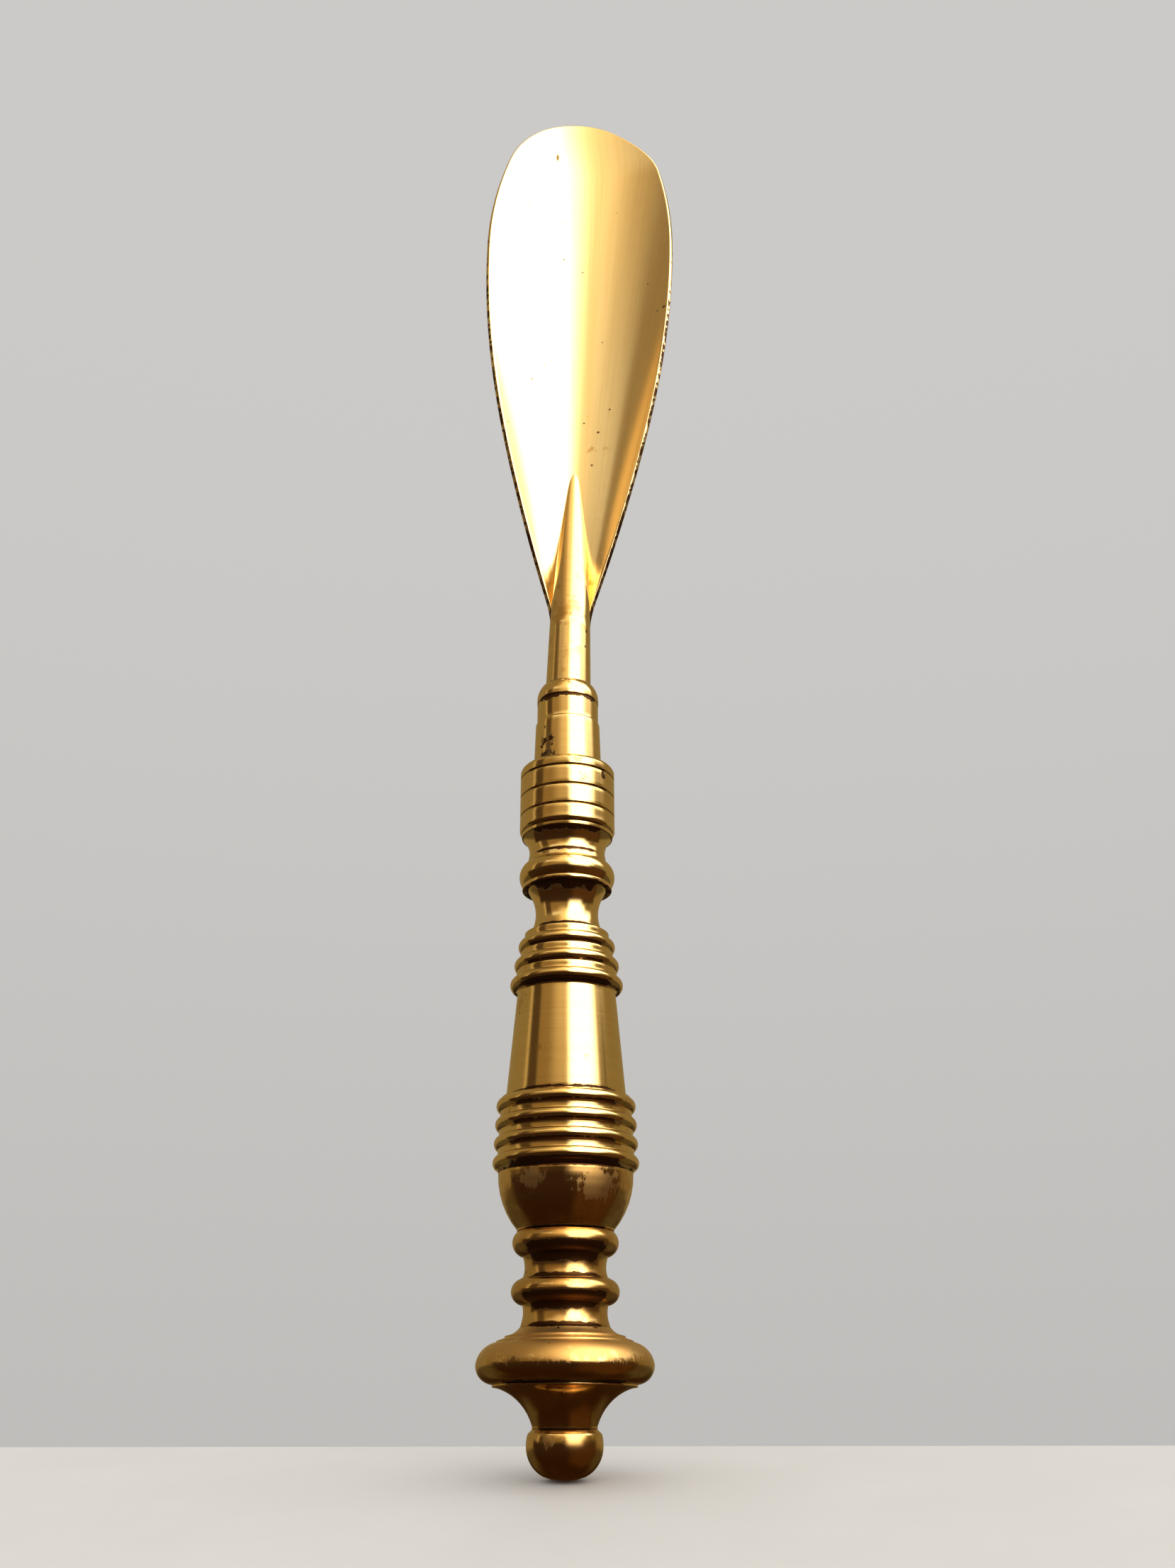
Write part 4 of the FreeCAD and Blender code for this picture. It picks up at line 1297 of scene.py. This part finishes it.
@dataclass
class Stem:
    """Round tapered stem: a tang below, a tail that thins out on the hollow side of the blade."""

    tang: float = 3.0
    tang_length: float = 22.6
    shoulder: float = 4.3
    shoulder_rise: float = 0.4
    root: float = 4.72
    heel: float = 4.27
    heel_height: float = 18.5
    tail_length: float = 45.0
    tail_middle: float = 20.0
    tail_middle_radius: float = 3.1
    tail_tip_radius: float = 0.35
    tail_flattening: float = 0.78
    tail_flattens: float = 0.8
    segments: int = 96
    shaft_steps: int = 18
    tail_steps: int = 40
    collar_height: float = 3.9
    collar_tarnish: float = 1.2
    collar_strength: float = 0.8
    heel_tarnish: float = 0.9
    heel_back: float = 1.0

    def tail_radius(self, rise: float) -> float:
        """Radius of the tail at a rise above the blade's heel."""
        middle, end = self.tail_middle, self.tail_length
        start_part = self.heel * (rise - middle) * (rise - end) / (middle * end)
        middle_part = self.tail_middle_radius * rise * (rise - end) / (middle * (middle - end))
        end_part = self.tail_tip_radius * rise * (rise - middle) / (end * (end - middle))
        return start_part + middle_part + end_part

    def stations(self) -> list[tuple[float, float, float]]:
        """Height, half width and half depth of each ring from the tang up."""
        rings = [(height, radius, radius) for height, radius in (
            (-self.tang_length, self.tang), (0.0, self.tang), (0.0, self.shoulder),
            (self.shoulder_rise, self.shoulder), (self.shoulder_rise, self.root),
        )]
        for step in range(1, self.shaft_steps + 1):
            share = step / self.shaft_steps
            height = self.shoulder_rise + (self.heel_height - self.shoulder_rise) * share
            radius = self.root + (self.heel - self.root) * share
            rings.append((height, radius, radius))
        for step in range(1, self.tail_steps + 1):
            share = step / self.tail_steps
            radius = self.tail_radius(self.tail_length * share)
            depth = radius * (1.0 - self.tail_flattening * share**self.tail_flattens)
            rings.append((self.heel_height + self.tail_length * share, radius, depth))
        return rings

    def centre(self, height: float, depth: float) -> float:
        """Place of a ring's centre along Y: the tail's back stays on the sheet."""
        return self.heel - depth if height > self.heel_height else 0.0

    def build(self, lean: Lean, finish: bpy.types.Material) -> None:
        """Extrude a circle from ring to ring, close both ends and lean it."""
        rings = self.stations()
        height, radius = rings[0][:2]
        bpy.ops.object.select_all(action="DESELECT")
        bpy.ops.mesh.primitive_circle_add(vertices=self.segments, radius=radius * MM, fill_type="NGON")
        piece = bpy.context.active_object
        piece.name = piece.data.name = "stem_drawn"
        bpy.ops.object.mode_set(mode="EDIT")
        bpy.ops.mesh.select_all(action="SELECT")
        bpy.ops.transform.translate(value=(0, 0, height * MM))
        for before, after in zip(rings[:-1], rings[1:]):
            start, end = self.centre(before[0], before[2]), self.centre(after[0], after[2])
            rise = Vector((0, end - start, after[0] - before[0])) * MM
            bpy.ops.mesh.extrude_region_move(TRANSFORM_OT_translate={"value": rise})
            scale = (after[1] / before[1], after[2] / before[2], 1)
            bpy.ops.transform.resize(value=scale, center_override=(0, end * MM, after[0] * MM))
        bpy.ops.object.mode_set(mode="OBJECT")
        places = vertices(piece) / MM
        place_vertices(piece, lean.lean(places, self.shoulder_rise / 2))
        tidy_mesh(piece)
        above = (places[:, 2] - self.collar_height).clip(0)
        heel = (places[:, 2] - self.heel_height) / self.heel_tarnish
        store(piece, Mark.CREVICE, np.exp(-above / self.collar_tarnish) * self.collar_strength)
        store(piece, Mark.SEAM, np.exp(-(heel**2)) * (places[:, 1] > self.heel_back))
        standing = places + np.array([0, 0, lean.pivot])
        store(piece, Mark.STAIN, covered(STAINS_AND_SHADE, standing))
        store(piece, Mark.DULL, covered(DULL_PATCHES, standing))
        hand_over(piece, Slot.STEM, "stem", finish)


@dataclass
class Blade:
    """Sheet rolled to a cone and cut to a long rounded outline.

    Attributes:
        thickness: Thickness of the sheet, along Y.
        inner: Distance from the stem's axis to the inside of the sheet.
        heel_height: Lower edge above the ferrule.
        bend: Inside radius at the lower edge.
        spread: Inside radius gained per unit of height.
        stations: Half width and rise from the place before, from the lower edge up.
        skew: How far the worn tip stands to the side.
    """

    thickness: float = 1.2
    inner: float = 3.77
    heel_height: float = 19.4
    bend: float = 6.0
    spread: float = 0.28
    stations: tuple[Point, ...] = (
        (4.35, 0.0),
        (5.5, 7.0),
        (15.9, 38.0),
        (21.9, 55.0),
        (18.9, 26.0),
        (9.8, 14.9),
    )
    belly: int = 3
    skew: float = -2.25
    tip_trim: float = 0.08
    skew_length: float = 19.0
    rim_round: float = 0.34
    rim_segments: int = 4
    rim_angle: float = 50.0
    rim_rows: tuple[float, ...] = (0.0, 0.55, 1.3, 2.6)
    # Painted shade on the rim: its strength, and how far up it reaches and fades.
    rim_shade: float = 0.8
    rim_shade_end: float = 135.0
    rim_shade_fade: float = 60.0
    heel_tarnish: float = 1.1
    tail_edge: float = 3.9
    tail_edge_width: float = 0.5
    tail_edge_top: float = 40.0
    tail_edge_strength: float = 0.4
    rim_facing: Point = (0.15, -0.1)
    inner_rows: int = 9
    outline_step: float = 0.9

    @staticmethod
    def arc(start: Vector, heading: Vector, end: Vector, spacing: float) -> tuple[list[Vector], Vector]:
        """Points of the arc that leaves start along heading and reaches end.

        Args:
            start: Where it starts.
            heading: Its direction there.
            end: Where it ends.
            spacing: Distance between the points.

        Returns:
            The points after start, and the direction at the end.
        """
        chord = end - start
        half = math.atan2(heading.x * chord.y - heading.y * chord.x, heading.dot(chord))
        length = chord.length if abs(half) < TINY else chord.length * half / math.sin(half)
        count = max(2, math.ceil(length / spacing))
        points = []
        for step in range(1, count + 1):
            turn_so_far = half * step / count
            reach = chord.length * (
                step / count if abs(half) < TINY else math.sin(turn_so_far) / math.sin(half)
            )
            points.append(start + Matrix.Rotation(turn_so_far, 2) @ heading * reach)
        return points, Matrix.Rotation(2 * half, 2) @ heading

    def side(self) -> list[Vector]:
        """One side of the outline from the lower edge to the tip."""
        height = self.heel_height
        marks = []
        for half_width, rise in self.stations:
            height += rise
            marks.append(Vector((half_width, height)))
        falling, heading = [marks[self.belly]], Vector((0, -1))
        for start, end in zip(marks[self.belly:0:-1], marks[self.belly - 1::-1]):
            points, heading = self.arc(start, heading, end, self.outline_step)
            falling += points
        rising, heading = [], Vector((0, 1))
        for start, end in zip(marks[self.belly:-1], marks[self.belly + 1:]):
            points, heading = self.arc(start, heading, end, self.outline_step)
            rising += points
        corner = marks[-1]
        tip_radius = corner.x / heading.y
        centre_height = corner.y + heading.x * tip_radius
        self.tip_centre = centre_height
        tip, _ = self.arc(corner, heading, Vector((0, centre_height + tip_radius)), self.outline_step)
        return falling[::-1] + rising + tip

    def on_cone(self, flat: np.ndarray) -> np.ndarray:
        """Depth of the sheet's back at places across and up.

        Args:
            flat: Across and up, in millimetres.

        Returns:
            Depth along Y at each.
        """
        half_angle = math.atan(self.spread)
        sine, cosine = math.sin(half_angle), math.cos(half_angle)
        up = flat[:, 1] - (self.heel_height - (self.bend + self.thickness) / self.spread)
        twist = cosine * cosine - sine * sine
        root = np.sqrt(np.maximum((up * sine * cosine) ** 2 - twist * (flat[:, 0] * cosine) ** 2, 0))
        return self.inner + self.thickness + (root - up * sine * cosine) / twist

    def rows(self, reach: float) -> np.ndarray:
        """Distances in from the rim, close together at the rim, as shares of the reach."""
        rim = [row for row in self.rim_rows if row < reach * 0.5]
        inside = np.linspace(rim[-1], reach, len(self.rim_rows) - len(rim) + self.inner_rows + 1)[1:]
        return np.concatenate([rim, inside]) / reach

    def flat_shape(self) -> np.ndarray:
        """Places across and up for every point of the outline and every row in from it."""
        side = self.side()
        around = [Vector((-point.x, point.y)) for point in side] + side[-2::-1]
        places = []
        for point in around:
            spine = Vector((0.0, min(point.y, self.tip_centre)))
            shares = self.rows(max((spine - point).length, 1e-3))
            places.append([point.lerp(spine, share) for share in shares])
        return np.array(places)

    def build(self, lean: Lean, finish: bpy.types.Material) -> None:
        """Shape a grid to the outline, roll it, thicken it, round its rim and lean it."""
        shape = self.flat_shape()
        count, rows, _ = shape.shape
        bpy.ops.object.select_all(action="DESELECT")
        bpy.ops.mesh.primitive_grid_add(x_subdivisions=count - 1, y_subdivisions=rows - 1, size=1)
        piece = bpy.context.active_object
        piece.name = piece.data.name = "blade_rolled"
        grid = vertices(piece)
        column = np.rint((grid[:, 0] + 0.5) * (count - 1)).astype(int)
        row = np.rint((grid[:, 1] + 0.5) * (rows - 1)).astype(int)
        flat = shape[column, row]
        depth = self.on_cone(flat)
        rolled = np.column_stack([flat[:, 0], depth, flat[:, 1]])
        place_vertices(piece, rolled * MM)
        tidy_mesh(piece)
        self.face_back(piece)
        true_thickness = self.thickness * math.cos(math.atan(self.spread)) * MM
        apply_modifier(piece, "SOLIDIFY", thickness=true_thickness, offset=-1.0, use_even_offset=True)
        apply_modifier(
            piece,
            "BEVEL",
            width=self.rim_round * MM,
            segments=self.rim_segments,
            limit_method="ANGLE",
            angle_limit=math.radians(self.rim_angle),
            use_clamp_overlap=True,
        )
        self.finish_mesh(piece, lean)
        hand_over(piece, Slot.SHEET, "blade", finish)

    def face_back(self, piece: bpy.types.Object) -> None:
        """Turn the single sheet's faces away from the hollow side."""
        only(piece)
        if sum(face.normal.y * face.area for face in piece.data.polygons) < 0:
            bpy.ops.object.mode_set(mode="EDIT")
            bpy.ops.mesh.select_all(action="SELECT")
            bpy.ops.mesh.flip_normals()
            bpy.ops.object.mode_set(mode="OBJECT")

    def rim_shade_mask(self, piece: bpy.types.Object, places: np.ndarray) -> np.ndarray:
        """Painted shade: 1 on the two long edges of the sheet, where they face outwards and to the front,
        and 0 elsewhere, fading out towards the tip.
        """
        facing = directions(piece)
        outward = np.sign(places[:, 0]) * facing[:, 0]
        edge = (outward > self.rim_facing[0]) & (facing[:, 1] < self.rim_facing[1])
        above = places[:, 2] - self.heel_height
        return edge * np.clip((self.rim_shade_end - above) / self.rim_shade_fade, 0, 1)

    def finish_mesh(self, piece: bpy.types.Object, lean: Lean) -> None:
        """Skew the worn tip, lean the blade and store its lanes."""
        tidy_mesh(piece)
        places = vertices(piece) / MM
        tip = places[:, 2].max()
        share = np.clip((places[:, 2] - (tip - self.skew_length)) / self.skew_length, 0, 1)
        up = places[:, 2] - (self.heel_height - self.bend / self.spread)
        store(piece, Mark.LANE, places[:, 0] / (up * self.spread))
        store(piece, Mark.ALONG, places[:, 2] * MM)
        heel = (places[:, 2] - self.heel_height).clip(0) / self.heel_tarnish
        edge = (np.abs(places[:, 0]) - self.tail_edge) / self.tail_edge_width
        beside_tail = places[:, 2] < self.tail_edge_top
        store(piece, Mark.CREVICE, np.exp(-heel))
        store(piece, Mark.SEAM, np.exp(-(edge**2)) * beside_tail * self.tail_edge_strength)
        # Painted shade on the rim's outward front faces, kept with the stains.
        store(piece, Mark.STAIN, self.rim_shade_mask(piece, places) * self.rim_shade)
        places[:, 0] += self.skew * share * share * (3 - 2 * share)
        places[:, 2] -= self.tip_trim * share
        place_vertices(piece, lean.lean(places, 0.0))


# ---------------------------------------------------------------- studio


@dataclass(frozen=True)
class Panel:
    """A soft panel of the studio, as the polished metal sees it.

    Attributes:
        azimuth: From and to, in degrees; 0 is in front and 90 to the right.
        elevation: From and to, in degrees.
        tone: Its colour and strength.
        edge: Width of its soft edges, in degrees.
    """

    azimuth: Point
    elevation: Point
    tone: Colour
    edge: float = 4.0


ROOM = (0.28, 0.21, 0.085)
BACKDROP = ((0.50, 0.49, 0.475), (0.60, 0.59, 0.575))
PLAIN_LIGHT = ((0.62, 0.61, 0.60), (1.0, 0.99, 0.97))
LIGHT_RISE = (-0.3, 0.7)
PANELS = (
    Panel((-200, 200), (-100, -4), (0.10, 0.075, 0.03)),
    Panel((-60, 14), (4, 34), (0.29, 0.185, 0.065), 5),
    Panel((-60, 14), (30, 100), (0.55, 0.38, 0.16), 8),
    Panel((-200, 200), (-110, -38), (0.036, 0.015, 0.004), 10),
    Panel((150, 210), (-110, -8), (0.036, 0.015, 0.004), 10),
    Panel((-210, -150), (-110, -8), (0.036, 0.015, 0.004), 10),
    Panel((-106, 106), (-100, 8), (0.034, 0.014, 0.004), 3),
    Panel((20, 104), (-60, 6), (0.085, 0.036, 0.009), 12),
    Panel((-83, -61), (7, 36), (0.075, 0.042, 0.012), 1.5),
    Panel((-91, -84), (7, 36), (0.60, 0.46, 0.22), 2),
    Panel((-92, -50), (34, 70), (0.30, 0.21, 0.09), 8),
    Panel((84, 87), (7, 38), (0.06, 0.04, 0.015), 1),
    Panel((-26, 8), (28, 90), (1.5, 1.2, 0.68), 16),
    Panel((10, 52), (7, 30), (5.0, 4.6, 4.0), 9),
    Panel((9, 66), (18, 40), (5.0, 4.6, 4.0), 9),
    Panel((2, 100), (30, 60), (4.6, 4.2, 3.6), 9),
    Panel((22, 84), (58, 80), (5.2, 4.7, 3.9), 8),
    Panel((-58, -15), (34, 41), (1.1, 1.0, 0.75), 3),
)


@dataclass
class Studio:
    """Pale floor, soft light and the camera.

    Attributes:
        tilt: How far the object leans back from the floor's upright, in degrees.
        contact: Back edge of the ball's flat, where it stands.
    """

    tilt: float = 7.8
    contact: float = 2.2
    floor_front: float = 0.9
    floor_back: float = 0.04
    floor_side: float = 0.9
    floor_cells: int = 12
    unit: float = 0.000143
    focal: float = 2192.0
    pitch: float = 23.4
    foot: float = 896.0
    aside: float = 0.0129
    roll: float = -0.08
    tall: float = 2212.0
    sensor: float = 36.0
    nearest: float = 0.01

    def floor(self) -> None:
        """A plain pale board that ends a little behind the object."""
        bpy.ops.object.select_all(action="DESELECT")
        cells = self.floor_cells
        bpy.ops.mesh.primitive_grid_add(x_subdivisions=cells, y_subdivisions=cells, size=1)
        board = bpy.context.active_object
        board.name = board.data.name = "floor_board"
        places = vertices(board)
        places[:, 0] *= 2 * self.floor_side
        places[:, 1] = self.floor_back - (0.5 - places[:, 1]) * (self.floor_front + self.floor_back)
        angle = math.radians(self.tilt)
        across = places[:, 1].copy()
        places[:, 1] = across * math.cos(angle) + self.contact * MM
        places[:, 2] = across * math.sin(angle)
        place_vertices(board, places)
        board.data.materials.append(Board("floor_board_pale").dress())
        board.visible_glossy = False

    def light(self) -> None:
        """World light: neutral for the floor, panels for the polished metal."""
        world = bpy.data.worlds.new("studio")
        bpy.context.scene.world = world
        world.use_nodes = True
        tree = Tree(world.node_tree)
        facing = tree.out(tree.node("ShaderNodeTexCoord"), "Generated")
        x, y, z = tree.parts(facing)
        azimuth = tree.maths("ARCTAN2", x, y * -1.0) * math.degrees(1.0)
        elevation = tree.maths("ARCSINE", z) * math.degrees(1.0)
        colour: Value | Colour = ROOM
        for panel in PANELS:
            masks = [
                tree.smooth(value, low - panel.edge, low + panel.edge)
                * tree.smooth(value, high + panel.edge, high - panel.edge)
                for value, (low, high) in ((azimuth, panel.azimuth), (elevation, panel.elevation))
            ]
            colour = tree.mix(masks[0] * masks[1], colour, panel.tone)
        above = tree.smooth(z, *LIGHT_RISE)
        plain = tree.mix(above, *PLAIN_LIGHT)
        rays = tree.node("ShaderNodeLightPath")
        lit = tree.mix(tree.out(rays, "Is Glossy Ray"), plain, colour)
        seen = tree.mix(tree.out(rays, "Is Camera Ray"), lit, tree.mix(above, *BACKDROP))
        shader = tree.node("ShaderNodeBackground", None, {"Color": seen, "Strength": 1.0})
        tree.node("ShaderNodeOutputWorld", None, {0: tree.out(shader)})

    def camera(self) -> None:
        """The camera, a little below the middle and looking up."""
        angle = math.radians(self.pitch)
        forward = Vector((0, math.cos(angle), math.sin(angle)))
        upward = Vector((0, -math.sin(angle), math.cos(angle)))
        right = Vector((1, 0, 0))
        place = Vector((0, 0, self.foot * self.unit)) - forward * (self.focal * self.unit)
        place += right * (self.aside * self.focal * self.unit)
        made = bpy.data.objects.new("camera", bpy.data.cameras.new("camera"))
        bpy.context.scene.collection.objects.link(made)
        turned = Matrix((right, upward, -forward)).transposed().to_4x4()
        roll = Matrix.Rotation(math.radians(self.roll), 4, "Z")
        made.matrix_world = Matrix.Translation(place) @ turned @ roll
        made.data.sensor_width = self.sensor
        made.data.lens = self.focal / self.tall * self.sensor
        made.data.clip_start = self.nearest
        bpy.context.scene.camera = made
        bpy.context.scene.view_settings.view_transform = "Standard"

    def build(self) -> None:
        """Set up floor, light and camera."""
        self.floor()
        self.light()
        self.camera()


def main() -> None:
    """Build the shoehorn piece by piece, then the studio."""
    logging.basicConfig(level=logging.INFO, format="%(message)s")
    finishes = {slot: finish.dress() for slot, finish in FINISHES.items()}
    handle = Handle()
    handle.build(finishes)
    lean = Lean(pivot=handle.feet()[-2])
    Stem().build(lean, finishes[Slot.STEM])
    Blade().build(lean, finishes[Slot.SHEET])
    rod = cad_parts["tie_rod"]
    rod.data.materials.clear()
    rod.data.materials.append(finishes[Slot.ROD])
    Studio().build()


if __name__ == "__main__":
    main()
